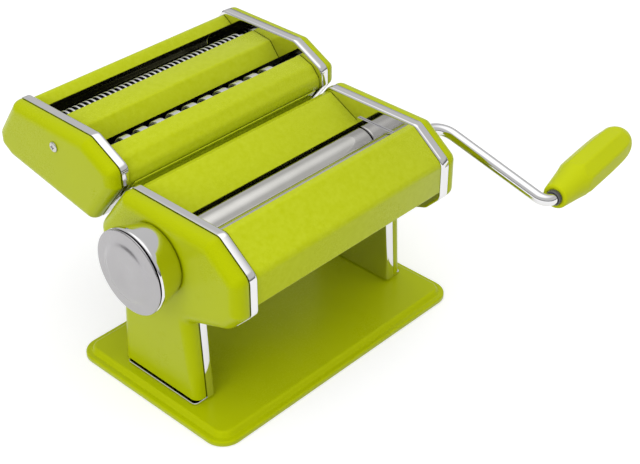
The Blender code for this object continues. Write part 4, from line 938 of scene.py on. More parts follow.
def cover_mesh(side, corners, inner, face, edge, foot=None):
    """foot is the (face, edge) that the section has reached at the tray, or nothing."""
    loops = []
    section, outside = cover_section(inner, face, edge)
    low_section, _ = cover_section(inner, *(foot or (face, edge)))
    for (inset, x), (low_inset, low_x) in zip(section, low_section):
        loop = []
        pairs = zip(rounded_outline(corners, inset, 0.0030), rounded_outline(corners, low_inset, 0.0030))
        for point, low_point in pairs:
            share = held(0.0, (TAPER_TOP - point.y) / (TAPER_TOP - BASE_TOP), 1.0) if foot else 0.0
            place = point.lerp(low_point, share)
            loop.append((side * (x + (low_x - x) * share), place.x, place.y))
        loops.append(loop)
    bm = lofted(loops)
    rows, round_count = len(loops) - 1, len(loops[0])
    # the inside of the shell is painted dark as painted shade
    mark_painted_shade(bm, [*range((outside - 1) * round_count, rows * round_count), rows * round_count + 1])
    return bm


def side_block(side, x_from, x_to, z_from, z_to):
    """A block over the body's whole depth, for cutting a cover's foot."""
    low_x, high_x = sorted((side * x_from, side * x_to))
    return block((low_x, BODY_FRONT - 0.02, z_from), (high_x, BODY_REAR + 0.02, z_to))


def make_covers():
    near, foot_z = HALF_INNER - 0.005, BASE_TOP + GAP + TONGUE_SHEET + 0.0015
    through = (COVER_FACE - 0.006, COVER_FACE + 0.003)
    cutter_through = (CUTTER_FACE - 0.006, CUTTER_FACE + 0.003)
    places = {"left": (KNOB_AXIS, 0.0040 + GAP), "right": (FRONT_AXIS, SOCKET_RADIUS + 2 * GAP)}
    for side, label in SIDES:
        ground = side_block(side, near, COVER_FACE + 0.010, -0.02, foot_z)
        sill = side_block(side, near, HALF_INNER + FLANGE_WIDTH + GAP, -0.02, foot_z + 0.0004)
        shell = cover_mesh(side, body_corners(-COVER_EDGE), HALF_INNER, COVER_FACE, COVER_EDGE,
                           (FOOT_FACE, FOOT_EDGE))
        dress(f"lime_cover_{label}", shell, LIME_LACQUER, "machine", f"side_cover_{label}",
              angle=45.0, holes=[ground, sill, bore(side, *through, *places[label])])
        holes = [bore(side, *cutter_through, COVER_SCREW, STUD_RADIUS + GAP, 24)]
        if side > 0:
            holes += [bore(side, *cutter_through, axis, SOCKET_RADIUS + 2 * GAP)
                      for axis in FRONT_CUTTERS.values()]
        shell = cover_mesh(side, cutter_corners(), CUTTER_HALF, CUTTER_FACE, CUTTER_EDGE)
        dress(f"lime_cutter_cover_{label}", shell, LIME_LACQUER, "cutter_head",
              f"cutter_cover_{label}", angle=45.0, holes=holes)


make_covers()

# %% [markdown]
# ## Folded panels
# The panels between the ends are one sheet each, folded along X. The front panel starts with a narrow
# lip over the roller, runs round the shoulder and turns in at its foot. The attachment has three panels,
# with the two slots for the dough between them.

# %% Panels
PANEL_SHEET, PANEL_INSET = 0.0010, 0.0012


def make_panel(name, node, corners, half, body):
    return dress(name, folded_sheet(rounded_path(corners), PANEL_SHEET, half), LIME_LACQUER,
                 body, node, soften=0.0002, angle=40.0)


def make_body_panels():
    inset = moved_corners(body_corners(BASE_TOP), PANEL_INSET)
    low_z, lip_y, lip_z = 0.0948, -0.0446, 0.1330
    front = [(lip_y, lip_z - 0.0035, 0), (lip_y, lip_z, 0.0008), (inset[0].x, lip_z, 0.0030),
             (inset[1].x, inset[1].y, 0.0060), (inset[1].x, low_z, 0.0012),
             (inset[1].x + 0.0060, low_z - 0.0010, 0)]
    make_panel("lime_front_panel", "front_panel", front, HALF_INNER - GAP, "machine")
    crest_y, crest_z = 0.0198, 0.1310
    fold_z = crest_z - 0.0015
    along = (inset[10].x - inset[11].x) / (inset[11].y - inset[10].y)
    fold_y = inset[11].x + along * (inset[11].y - fold_z)
    rear = [(inset[8].x, inset[8].y, 0), (inset[9].x, inset[9].y, 0.0040), (inset[10].x, inset[10].y, 0.0050),
            (fold_y, fold_z, 0.0010), (crest_y, crest_z, 0.0015), (-0.0044, 0.1184, 0)]
    make_panel("lime_rear_panel", "rear_panel", rear, HALF_INNER - GAP, "machine")


def make_cutter_panels():
    half = CUTTER_HALF - GAP
    c = moved_corners(cutter_corners(), PANEL_INSET)
    back = [(c[4].x, c[4].y, 0), (c[5].x, c[5].y, 0.0040), (c[6].x, c[6].y, 0.0050),
            (c[7].x - 0.0003, c[7].y - 0.0011, 0.0030), (0.1115, BODY_TOP + 0.0136, 0)]
    make_panel("lime_back_panel", "cutter_back_panel", back, half, "cutter_head")
    roof = [(0.0905, BODY_TOP + 0.0162, 0), (0.0748, BODY_TOP + 0.0143, 0.0030),
            (0.0671, BODY_TOP + 0.0044, 0)]
    make_panel("lime_roof_panel", "cutter_roof_panel", roof, half, "cutter_head")
    front = [(0.0480, BODY_TOP + 0.0132, 0), (0.0372, BODY_TOP + 0.0096, 0.0060),
             (c[2].x + 0.0008, c[2].y + 0.0060, 0.0060), (c[2].x, c[2].y, 0.0060), (c[3].x, c[3].y, 0)]
    make_panel("lime_nose_panel", "cutter_front_panel", front, half, "cutter_head")


make_body_panels()
make_cutter_panels()

# %% [markdown]
# ## Rollers
# Two ground rollers roll the dough. Their rims are rounded by a millimetre, which shows as a bright line
# at each end. The fixed one is driven: its right journal widens into the crank's socket. The other sits
# in sliding carriers, so its journals are plain.

# %% Rollers
ROLLER_HALF, RIM, ROLLER_SIDES, EASE = 0.0761, 0.0010, 96, 0.0003
SOCKET_END, SOCKET_DEPTH = COVER_FACE - COVER_WALL - 0.0010, 0.0105
GEAR_START, GEAR_WIDTH = HALF_INNER + PLATE_SHEET + 0.0030, 0.0060


def socket_mouth(end, depth):
    """The profile round the mouth of a crank socket, down to its floor."""
    return [(end - EASE, SOCKET_RADIUS), (end, SOCKET_RADIUS - EASE), (end, SOCKET_BORE + EASE),
            (end - EASE, SOCKET_BORE), (end - depth, SOCKET_BORE)]


def roller_barrel():
    right = [(ROLLER_HALF - RIM - 0.0004, ROLLER_RADIUS)]
    right += [(ROLLER_HALF - RIM + RIM * sin(a), ROLLER_RADIUS - RIM + RIM * cos(a)) for a in quarter(5)]
    return mirrored(right + [(ROLLER_HALF, ROLLER_RADIUS - RIM - 0.0004)])


def make_roller(role, axis, left, right_end):
    """left is where the plain left journal ends; right_end is the profile past the right journal."""
    plain = [(-left, 0.0), (-left, JOURNAL_RADIUS - EASE), (-left + EASE, JOURNAL_RADIUS),
             (-ROLLER_HALF, JOURNAL_RADIUS)]
    profile = plain + roller_barrel() + [(ROLLER_HALF, JOURNAL_RADIUS)] + right_end
    dress(f"ground_{role}_roller", turned(profile, ROLLER_SIDES, axis), GROUND_STEEL,
          f"{role}_roller", f"{role}_roller")


def make_rollers():
    neck = HALF_INNER + PLATE_SHEET + 0.0020
    make_roller("front", FRONT_AXIS, neck,
                [(neck, JOURNAL_RADIUS), (neck, SOCKET_RADIUS), *socket_mouth(SOCKET_END, SOCKET_DEPTH),
                 (SOCKET_END - SOCKET_DEPTH, 0.0)])
    right = GEAR_START + GEAR_WIDTH
    make_roller("rear", REAR_AXIS, HALF_INNER + PLATE_SHEET + GAP + 0.0020,
                [(right - EASE, JOURNAL_RADIUS), (right, JOURNAL_RADIUS - EASE), (right, 0.0)])


make_rollers()

# %% [markdown]
# ## Tie rods
# Round rods with shouldered ends keep the plates apart, and a hexagon nut closes each end. The nut is a
# six-sided turning whose corners are taken down a little at both faces, as a real nut's are.

# %% Tie rods
NUT_HEIGHT = 0.0022


def rod_mesh(centre, inner):
    shoulder, near = inner - GAP, inner + PLATE_SHEET + GAP
    far = near + NUT_HEIGHT
    half = [(shoulder - 0.0002, 0.0030), (shoulder, 0.0028), (shoulder, STUD_RADIUS),
            (far + 0.0002, STUD_RADIUS), (far + 0.0005, STUD_RADIUS - 0.0004)]
    nut = [(near, 0.0034), (near + 0.0004, 0.0038), (far - 0.0004, 0.0038), (far, 0.0034),
           (far, STUD_RADIUS), (near, STUD_RADIUS)]
    nuts = [outward(turned(sided(side, nut), 6, centre, ring=True)) for side, _ in SIDES]
    return merged(turned(mirrored(half), 40, centre), *nuts)


for rod, centre in BODY_RODS.items():
    dress(f"zinc_rod_{rod}", rod_mesh(centre, HALF_INNER), ZINC_PLATE, "machine",
          f"tie_rod_{rod}")
for rod, centre in cutter_rods().items():
    dress(f"zinc_cutter_rod_{rod}", rod_mesh(centre, CUTTER_HALF), ZINC_PLATE,
          "cutter_head", f"cutter_tie_rod_{rod}")

# %% [markdown]
# ## Cutters
# A cutter is a bar with square rings, and its partner's rings run in its grooves. One ring is turned
# with softened corners, and the even-steps tree repeats it along the core. Deep in the grooves the
# walls are painted dark as painted shade. The partner lies low in the slot and is painted dark all over, as
# painted shade.

# %% Cutters
CUTTER_LENGTH, RING_PLAY, CUTTER_SIDES = 0.1500, 0.0003, 48
PITCHES = {"fine": 0.0040, "wide": 0.0130}
BLOCK_END = CUTTER_HALF + PLATE_SHEET + GAP + 0.0020
CUTTER_GEAR = (-(BLOCK_END + GAP) - 0.0050, -(BLOCK_END + GAP))
CUTTER_SOCKET_END, CUTTER_SOCKET_DEPTH = CUTTER_FACE - COVER_WALL - 0.0010, 0.0070


def ring_places(pitch, offset):
    """The first ring's middle, the number of rings and the ring's width."""
    count = int((CUTTER_LENGTH - pitch) / pitch)
    return offset - ((count - 1) * pitch + pitch / 2) / 2, count, pitch / 2 - 2 * RING_PLAY


def make_cutter(name, role):
    pitch, axis = PITCHES[name], cutter_axis(name, role)
    first, count, width = ring_places(pitch, pitch / 2 if role == "rear" else 0.0)
    soft, bright = 0.00018, 0.12 * pitch
    half_ring = [(width / 2 - soft, CUTTER_RADIUS), (width / 2, CUTTER_RADIUS - soft),
                 (width / 2, CUTTER_RADIUS - min(bright, 0.0014)), (width / 2, CUTTER_CORE - 0.0002)]
    one = turned([(first + x, r) for x, r in mirrored(half_ring)], CUTTER_SIDES, axis, ring=True)
    # the ring walls below the top band and the groove floor get painted shade
    mark_painted_shade(one, [CUTTER_SIDES * row + k for row in (0, 6, 7) for k in range(CUTTER_SIDES)])
    rings = in_steps(one, count, (pitch, 0, 0), CUTTER_STEEL)
    half = CUTTER_LENGTH / 2
    end = CUTTER_SOCKET_END - CUTTER_SOCKET_DEPTH if role == "front" else BLOCK_END
    core = outward(turned([(CUTTER_GEAR[0], 0.0), (CUTTER_GEAR[0], CUTTER_JOURNAL), (-half, CUTTER_JOURNAL),
                           (-half, CUTTER_CORE), (half, CUTTER_CORE), (half, CUTTER_JOURNAL),
                           (end, CUTTER_JOURNAL), (end, 0.0)], CUTTER_SIDES, axis))
    mark_painted_shade(core, [])  # gives the core the layer too, so that merging keeps the rings' marks
    whole = merged(core, rings)
    # the partner cutter is painted dark all over as painted shade
    if role == "rear":
        mark_painted_shade(whole, range(len(whole.faces)))
    return whole


for name in PITCHES:
    for role in ("front", "rear"):
        dress(f"{name}_rings_{role}", make_cutter(name, role), CUTTER_STEEL,
              f"{name}_cutter_{role}", f"{name}_cutter_{role}")
    print(name, "cutters have", ring_places(PITCHES[name], 0.0)[1], "rings each")

# %% [markdown]
# ## Combs
# Under each front cutter a dark comb reaches into the grooves and strips the dough off. One finger is a
# small wedge; the even-steps tree sets one in each groove of the strip. Behind the wide partner cutter
# stands a dark sheet, painted shade, so nothing but black is seen past the rings.

# %% Combs
SHADE_SHEET_Y, SHADE_SHEET_LOW, SHADE_SHEET_HIGH = 0.0752, 0.1130, BODY_TOP + 0.0117


def make_comb(name):
    pitch, (y, z) = PITCHES[name], FRONT_CUTTERS[name]
    first, count, _ = ring_places(pitch, 0.0)
    half = CUTTER_HALF - GAP
    low_z, bar_z = z - CUTTER_RADIUS - 0.0060, z - CUTTER_RADIUS - 0.0015
    tip_z = z - CUTTER_CORE - 3 * GAP
    bar = block((-half, y - 0.0015, low_z), (half, y, bar_z))
    finger, middle = (pitch / 2 - 4 * GAP) / 2, first + pitch / 2
    outline = [(middle - finger, bar_z - 0.0003), (middle + finger, bar_z - 0.0003),
               (middle + 0.12 * finger, tip_z), (middle - 0.12 * finger, tip_z)]
    wedge = lofted([[(x, depth, height) for x, height in outline] for depth in (y - 0.0015, y)])
    parts = [bar, in_steps(wedge, count - 1, (pitch, 0, 0), DARK_PLASTIC)]
    # a dark sheet behind the partner cutter stands in as painted shade in the slot
    if name == "wide":
        parts.append(block((-half, SHADE_SHEET_Y, SHADE_SHEET_LOW), (half, SHADE_SHEET_Y + 0.0008, SHADE_SHEET_HIGH)))
    return merged(*parts)


for name in PITCHES:
    dress(f"{name}_comb_strip", make_comb(name), DARK_PLASTIC, "cutter_head",
          f"{name}_comb")

# %% [markdown]
# ## Gears
# Long-toothed nylon gears let the rollers part without losing mesh. A gear's outline follows a rule, so
# a tree draws it: a circle of four points to a tooth, each moved to root or tip by its number, is
# filled round its bore, drawn out and turned onto its axle.

# %% Tree: gear
def make_gear_tree():
    tree, entry, result = open_tree(
        "straight_gear", ("Teeth", WHOLE, 16), ("Root", FLOAT, 0.01), ("Tip", FLOAT, 0.014),
        ("Root Share", FLOAT, 0.31), ("Tip Share", FLOAT, 0.10), ("Start Angle", FLOAT, 0.0),
        ("Bore", FLOAT, 0.005), ("Width", FLOAT, 0.006))
    given = entry.outputs
    circle = put_node(tree, "GeometryNodeCurvePrimitiveCircle")
    join(tree, math_node(tree, "MULTIPLY", given["Teeth"], 4.0), circle.inputs["Resolution"])
    index = put_node(tree, "GeometryNodeInputIndex").outputs["Index"]
    tooth = math_node(tree, "FLOOR", math_node(tree, "DIVIDE", index, 4.0))
    corner = math_node(tree, "SUBTRACT", index, math_node(tree, "MULTIPLY", tooth, 4.0))
    from_middle = math_node(tree, "SUBTRACT", corner, 1.5)
    is_root = math_node(tree, "GREATER_THAN", math_node(tree, "ABSOLUTE", from_middle), 1.0)

    def by_corner(at_tip, at_root):
        drift = put_node(tree, "ShaderNodeMapRange")
        join_all(tree, (is_root, drift.inputs["Value"]), (given[at_tip], drift.inputs["To Min"]),
                 (given[at_root], drift.inputs["To Max"]))
        return drift.outputs["Result"]

    step = math_node(tree, "DIVIDE", 2 * pi, given["Teeth"])
    side = math_node(tree, "SIGN", from_middle)
    offset = math_node(tree, "MULTIPLY", side, by_corner("Tip Share", "Root Share"))
    around = math_node(tree, "MULTIPLY", math_node(tree, "ADD", tooth, offset), step)
    angle = math_node(tree, "ADD", around, given["Start Angle"])
    radius = by_corner("Tip", "Root")
    spot = put_node(tree, "ShaderNodeCombineXYZ")
    for axis, function in (("X", "COSINE"), ("Y", "SINE")):
        reach = math_node(tree, "MULTIPLY", radius, math_node(tree, function, angle))
        join(tree, reach, spot.inputs[axis])
    shape = put_node(tree, "GeometryNodeSetPosition")
    hole = put_node(tree, "GeometryNodeCurvePrimitiveCircle", Resolution=32)
    both, solid = (put_node(tree, "GeometryNodeJoinGeometry") for _ in range(2))
    fill = put_node(tree, "GeometryNodeFillCurve")
    drawn = put_node(tree, "GeometryNodeExtrudeMesh", Individual=False)
    flipped = put_node(tree, "GeometryNodeFlipFaces")
    weld = put_node(tree, "GeometryNodeMergeByDistance", Distance=0.00001)
    chain(tree, circle, shape, both, fill, drawn, solid)
    chain(tree, hole, both)
    chain(tree, fill, flipped, solid)
    join_all(tree, (spot.outputs["Vector"], shape.inputs["Position"]), (given["Bore"], hole.inputs["Radius"]),
             (given["Width"], drawn.inputs["Offset Scale"]))
    return end_tree(tree, entry, result, solid, weld)


GEAR_TREE = make_gear_tree()


def onto_axle(x, axis):
    """Turns what was drawn upright onto a line along X."""
    return Matrix(((0, 0, 1, x), (1, 0, 0, axis[0]), (0, 1, 0, axis[1]), (0, 0, 0, 1)))


def make_gear(name, node, body, teeth, spacing, axis, facing, tooth, low, high, hole):
    """facing is where a tooth (or a gap) meets the mating gear, measured in the side view."""
    module = spacing / teeth
    start = facing if tooth else facing + pi / teeth
    bm = grown(make_mesh_object("gear_blank", bmesh.new()), GEAR_TREE, Teeth=teeth,
               Root=spacing / 2 - 1.25 * module, Tip=spacing / 2 + module, Start_Angle=start, Bore=hole,
               Width=high - low, Material=WHITE_NYLON)
    bm.transform(onto_axle(low, axis))
    dress(name, bm, WHITE_NYLON, body, node)


# %% [markdown]
# The roller gears sit between the right plate and its cover, the cutter gears behind the left cover.

# %% Gears in place
ROLLER_TEETH, CUTTER_TEETH = 16, 12
towards_rear = atan2(REAR_AXIS[1] - FRONT_AXIS[1], REAR_AXIS[0] - FRONT_AXIS[0])
gear_ends = (GEAR_START, GEAR_START + GEAR_WIDTH - GAP)
make_gear("nylon_gear_front_roller", "front_roller_gear", "front_roller", ROLLER_TEETH, ROLLER_SPACING,
          FRONT_AXIS, towards_rear, True, *gear_ends, SOCKET_RADIUS + GAP)
make_gear("nylon_gear_rear_roller", "rear_roller_gear", "rear_roller", ROLLER_TEETH, ROLLER_SPACING,
          REAR_AXIS, towards_rear + pi, False, *gear_ends, JOURNAL_RADIUS + GAP)
for name in PITCHES:
    for role in ("front", "rear"):
        facing = PAIR_ANGLE if role == "front" else PAIR_ANGLE + pi
        make_gear(f"nylon_gear_{name}_{role}", f"{name}_gear_{role}", f"{name}_cutter_{role}",
                  CUTTER_TEETH, PAIR_SPACING, cutter_axis(name, role), facing, role == "front",
                  *CUTTER_GEAR, CUTTER_JOURNAL + GAP)

# %% [markdown]
# ## Bearings
# The fixed roller turns in nylon bushes whose pale collars show round its ends. The adjustable roller
# sits in steel blocks that slide outside the plates; the left block has a window for the knob's cam. The
# cutters turn in round-ended nylon blocks.

# %% Bearings
TURNED_SIDES = 64


def rectangle(half_width, half_height):
    """Radius of a rectangle's outline at an angle."""
    return lambda a: min(half_width / max(abs(cos(a)), 1e-6), half_height / max(abs(sin(a)), 1e-6))


def make_bushes():
    inner, collar = JOURNAL_RADIUS + GAP, BUSH_RADIUS + 0.0020
    inside, outside = ROLLER_HALF + GAP, HALF_INNER + PLATE_SHEET
    step, end = outside + GAP, outside + 0.0017
    ring = [(inside, inner), (inside, BUSH_RADIUS - EASE), (inside + EASE, BUSH_RADIUS),
            (step, BUSH_RADIUS), (step, collar - 0.0002), (step + 0.0002, collar), (end - 0.0002, collar),
            (end, collar - 0.0002), (end, inner)]
    for side, label in SIDES:
        dress(f"nylon_bush_{label}", turned(sided(side, ring), TURNED_SIDES, FRONT_AXIS, ring=True),
              WHITE_NYLON, "machine", f"front_bush_{label}")


def make_carriers():
    near = HALF_INNER + PLATE_SHEET + GAP
    far, inner, outline = near + 0.0020, JOURNAL_RADIUS + GAP, rectangle(0.0095, 0.0130)
    across, up, top = 0.0071, 0.0082, far + 0.0022
    window, rim = rectangle(across, up), rectangle(across + 0.0022, up + 0.0022)
    plain = [(near, inner), (near, outline), (far, outline)]
    framed = plain + [(far, rim), (top, rim), (top, window), (far, window)]
    for (side, label), ring in zip(SIDES[::-1], (plain, framed)):
        block_mesh = turned(sided(side, ring + [(far, inner)]), TURNED_SIDES, REAR_AXIS, ring=True)
        dress(f"steel_carrier_{label}", block_mesh, ZINC_PLATE, "roller_carriage",
              f"roller_carrier_{label}", angle=25.0)


def make_bush_blocks():
    along = Vector((cos(PAIR_ANGLE), sin(PAIR_ANGLE)))
    across, reach = Vector((-along.y, along.x)), CUTTER_JOURNAL + 0.0024
    half = PAIR_SPACING / 2 + reach
    for name, front in FRONT_CUTTERS.items():
        middle = Vector(front) + along * (PAIR_SPACING / 2)
        spots = [middle + along * u + across * v
                 for u, v in ((-half, -reach), (half, -reach), (half, reach), (-half, reach))]
        outline = rounded_outline([(spot.x, spot.y, 0.94 * reach) for spot in spots])
        for side, label in SIDES:
            ends = sorted((side * (CUTTER_HALF + PLATE_SHEET + GAP), side * BLOCK_END))
            holes = [bore(side, BLOCK_END - 0.006, BLOCK_END + 0.002, cutter_axis(name, role),
                          CUTTER_JOURNAL + GAP, 32) for role in ("front", "rear")]
            dress(f"{name}_nylon_block_{label}", extruded(outline, *ends), WHITE_NYLON,
                  "cutter_head", f"{name}_bush_block_{label}", soften=0.0002, holes=holes)


def make_crank_sockets():
    start, shaft = BLOCK_END + GAP, CUTTER_JOURNAL + GAP
    ring = [(start, shaft), (start, SOCKET_RADIUS - EASE), (start + EASE, SOCKET_RADIUS),
            *socket_mouth(CUTTER_SOCKET_END, CUTTER_SOCKET_DEPTH),
            (CUTTER_SOCKET_END - CUTTER_SOCKET_DEPTH, shaft)]
    for name, axis in FRONT_CUTTERS.items():
        dress(f"{name}_socket", turned(ring, TURNED_SIDES, axis, ring=True), ZINC_PLATE,
              f"{name}_cutter_front", f"{name}_crank_socket")


make_bushes()
make_carriers()
make_bush_blocks()
make_crank_sockets()

# %% [markdown]
# ## Scrapers, rail and hook
# Spring strips wipe the undersides of the rollers. A folded rail on the body's slope takes the hook
# strip of the attachment, which lifts out along the slope. Both are sprayed with the panels, so the gap
# between the two halves reads as deep green.

# %% Scrapers, rail and hook
def touching_point(outside, centre, radius, side):
    away = Vector(outside) - Vector(centre)
    angle = atan2(away.y, away.x) + side * acos(radius / away.length)
    return Vector(centre) + Vector((cos(angle), sin(angle))) * radius


def make_scrapers():
    for name, axis, side in (("front", FRONT_AXIS, 1), ("rear", REAR_AXIS, -1)):
        y, z = BODY_RODS[f"{name}_low"]
        seat = Vector((y, z + 0.0030 + GAP + 0.0005))
        tip = touching_point(seat, axis, ROLLER_RADIUS + 1.5 * GAP, side)
        beyond = seat + (seat - tip).normalized() * 0.003
        path = [tip, beyond] if side > 0 else [beyond, tip]
        dress(f"spring_scraper_{name}", folded_sheet(path, 0.0005, ROLLER_HALF), SPRING_STEEL,
              "machine", f"{name}_scraper", soften=0.00008)


def on_slope(along, out):
    """A point measured up the body's rear slope and out from it."""
    middle = Vector(((TOP_REAR_Y + BODY_REAR) / 2, (BODY_TOP + SHOULDER_REAR_Z) / 2))
    uphill = Vector((-cos(SLOPE_ANGLE), sin(SLOPE_ANGLE)))
    return middle + uphill * along + Vector((sin(SLOPE_ANGLE), cos(SLOPE_ANGLE))) * out


def make_hanger():
    sheet, inner, outer = 0.0007, -PANEL_INSET + GAP, NEST_GAP - GAP
    rail = [(*on_slope(0.0040, inner), 0), (*on_slope(-0.0080, inner), 0.0009),
            (*on_slope(-0.0080, outer), 0.0009), (*on_slope(-0.0030, outer), 0)]
    dress("folded_hanger_rail", folded_sheet(rounded_path(rail, 4), sheet, HALF_INNER - GAP), LIME_LACQUER,
          "machine", "hanger_rail", soften=0.0001)
    low, high = inner + sheet + GAP, NEST_GAP + PANEL_INSET - GAP - sheet
    strip = [on_slope(-0.0080 + sheet + GAP, low), on_slope(0.001, low), on_slope(0.0040, high),
             on_slope(0.0100, high)]
    dress("folded_hook_strip", folded_sheet(strip[::-1], sheet, 0.0750), LIME_LACQUER,
          "cutter_head", "hook_strip", soften=0.0001)


make_scrapers()
make_hanger()

# %% [markdown]
# ## Thickness knob
# A chromed skirt widens in a straight cone from the cover to a rounded rim. A satin cap with a raised
# middle sits on it, and a groove parts the two; another groove parts skirt and cover. The walls of both
# grooves and the cap's back are painted dark as painted shade. Behind them is the spindle, whose round cam
# stands off its axis and so pushes the rollers apart.

# %% Knob
KNOB_RADIUS, KNOB_WAIST, KNOB_DEPTH, KNOB_WALL, KNOB_WELL = 0.0264, 0.0220, 0.0208, 0.0016, 0.0075
FACE_RADIUS, SPINDLE_RADIUS, CAM_RADIUS, SPRING_WIRE, SPRING_TURNS = 0.0249, 0.0040, 0.0065, 0.0004, 4
FACE_SEAT, RIM_END = KNOB_DEPTH - 0.0012, KNOB_DEPTH - 0.0019
GROOVE_RADIUS, CAP_RADIUS, KNOB_SIDES = FACE_RADIUS - 0.0008, KNOB_RADIUS - 0.0001, 96
DISC_SHARE, DISC_RISE = 0.68, 0.0014
HEAD_FAR = FACE_SEAT - GAP
HEAD_NEAR = HEAD_FAR - 0.0015


def at_knob(points):
    """Moves (depth from the cover's face, radius) points to the left side of the machine."""
    return [(-COVER_FACE - depth, radius) for depth, radius in points]


def make_knob_skirt():
    web = HEAD_NEAR - 2 * GAP - (2.5 * SPRING_TURNS + 2) * SPRING_WIRE - 0.0040
    waist, bore_radius = KNOB_WAIST + 0.0002, SPINDLE_RADIUS + GAP
    cone = RIM_END - 0.0015 - 0.0013
    runs = [(RIM_END - 0.0028) * k / 6 for k in range(1, 7)]
    flare = [(0.0004, waist - 0.0010), (0.0011, waist - 0.0010), (0.0011, waist - 0.0002), (0.0013, waist)]
    flare += [(0.0013 + run, waist + (KNOB_RADIUS - waist) / cone * run) for run in runs]
    flare += [(RIM_END - 0.0014 + 0.0014 * sin(a), KNOB_RADIUS - 0.0010 + 0.0010 * cos(a))
              for a in quarter(6)[1:]]
    groove = len(flare) - 1
    well, wall = KNOB_WELL + KNOB_WALL, KNOB_WAIST - KNOB_WALL
    inside = [(RIM_END, GROOVE_RADIUS), (FACE_SEAT, GROOVE_RADIUS), (FACE_SEAT, KNOB_WELL),
              (web, KNOB_WELL), (web, bore_radius), (web - KNOB_WALL, bore_radius), (web - KNOB_WALL, well),
              (FACE_SEAT - KNOB_WALL, well), (FACE_SEAT - KNOB_WALL, wall), (0.0004, wall)]
    skirt = turned(at_knob(flare + inside), KNOB_SIDES, KNOB_AXIS, ring=True)
    # the groove rows next to the cover and under the cap are painted dark as painted shade
    mark_painted_shade(skirt, [KNOB_SIDES * row + k for row in (0, 1, groove, groove + 1)
                           for k in range(KNOB_SIDES)])
    dress("chrome_knob_skirt", skirt, CHROME_PLATE, "knob", "knob_skirt")


def crown_depth(radius):
    """How far the cap stands out at a radius: a slight dome with a raised disc in the middle."""
    swell = held(0.0, (DISC_SHARE * CAP_RADIUS + 0.0024 - radius) / 0.0048, 1.0)
    rise = DISC_RISE * swell * swell * (3 - 2 * swell)
    return KNOB_DEPTH + 0.0002 + 0.0007 * (1 - (radius / CAP_RADIUS) ** 2) + rise


def make_knob_face():
    seat, brim = FACE_SEAT + GAP, CAP_RADIUS
    face = [(seat, 0.0), (seat, brim - EASE), (seat + EASE, brim)]
    face += [(KNOB_DEPTH - 0.0005 + 0.0007 * sin(a), brim - 0.0008 * (1 - cos(a)))
             for a in quarter(6)[:-1]]
    radii = [(brim - 0.0009) * (1 - k / 36) for k in range(36)] + [0.0]
    cap = turned(at_knob(face + [(crown_depth(r), r) for r in radii]), KNOB_SIDES, KNOB_AXIS)
    # the cap's back is painted dark as painted shade
    mark_painted_shade(cap, range(KNOB_SIDES))
    dress("satin_knob_face", cap, SATIN_FACE, "knob", "knob_face")


def cam(angle):
    """The radius, seen from the spindle's axis, of the round cam beside it."""
    offset = CARRIER_TRAVEL / 2
    return offset * cos(angle - pi) + sqrt(CAM_RADIUS ** 2 - (offset * sin(angle - pi)) ** 2)


def make_knob_spindle():
    near = HALF_INNER + PLATE_SHEET + 0.0020 + 2 * GAP - COVER_FACE
    far, head = near + 0.0022 - GAP, KNOB_WELL - 2 * GAP
    spindle = [(near, 0.0), (near, cam), (far, cam), (far, SPINDLE_RADIUS), (HEAD_NEAR, SPINDLE_RADIUS),
               (HEAD_NEAR, head), (HEAD_FAR - EASE, head), (HEAD_FAR, head - EASE), (HEAD_FAR, 0.0)]
    dress("zinc_knob_spindle", turned(at_knob(spindle), TURNED_SIDES, KNOB_AXIS), ZINC_PLATE,
          "knob_shaft", "knob_spindle")


make_knob_skirt()
make_knob_face()
make_knob_spindle()

# %% [markdown]
# ### Return spring
# The spring that draws the knob in is a spiral curve, swept with a round wire by a small tree. It is
# drawn at its pressed length.

# %% Tree: coiled wire
def end_swept(tree, entry, result, radius, sides, *nodes):
    """Ends a tree by sweeping a circle along the curve that a row of nodes gives."""
    circle = put_node(tree, "GeometryNodeCurvePrimitiveCircle", Resolution=sides)
    tube = put_node(tree, "GeometryNodeCurveToMesh", Fill_Caps=True)
    join_all(tree, (entry.outputs[radius], circle.inputs["Radius"]),
             (circle.outputs["Curve"], tube.inputs["Profile Curve"]))
    return end_tree(tree, entry, result, *nodes, tube)


def make_coil_tree():
    tree, entry, result = open_tree("coiled_wire", ("Turns", FLOAT, 4.0), ("Radius", FLOAT, 0.006),
                                    ("Height", FLOAT, 0.004), ("Wire", FLOAT, 0.0004))
    given = entry.outputs
    spiral = put_node(tree, "GeometryNodeCurveSpiral", Resolution=40)
    join_all(tree, (given["Turns"], spiral.inputs["Rotations"]), (given["Height"], spiral.inputs["Height"]),
             (given["Radius"], spiral.inputs["Start Radius"]), (given["Radius"], spiral.inputs["End Radius"]))
    return end_swept(tree, entry, result, "Wire", 10, spiral)


COIL_TREE = make_coil_tree()


def make_spring():
    coil = grown(make_mesh_object("spring_seed", bmesh.new()), COIL_TREE, Turns=float(SPRING_TURNS),
                 Radius=(SPINDLE_RADIUS + KNOB_WELL) / 2, Height=2.5 * SPRING_WIRE * SPRING_TURNS,
                 Wire=SPRING_WIRE, Material=SPRING_STEEL)
    coil.transform(onto_axle(-COVER_FACE - HEAD_NEAR + GAP + SPRING_WIRE, KNOB_AXIS))
    dress("coiled_knob_spring", coil, SPRING_STEEL, "knob_shaft", "knob_spring")


make_spring()

# %% [markdown]
# ## Crank
# The crank is one bent chromed rod. A tree rounds the corners of a plain path, each by its own radius,
# and sweeps a circle along it.

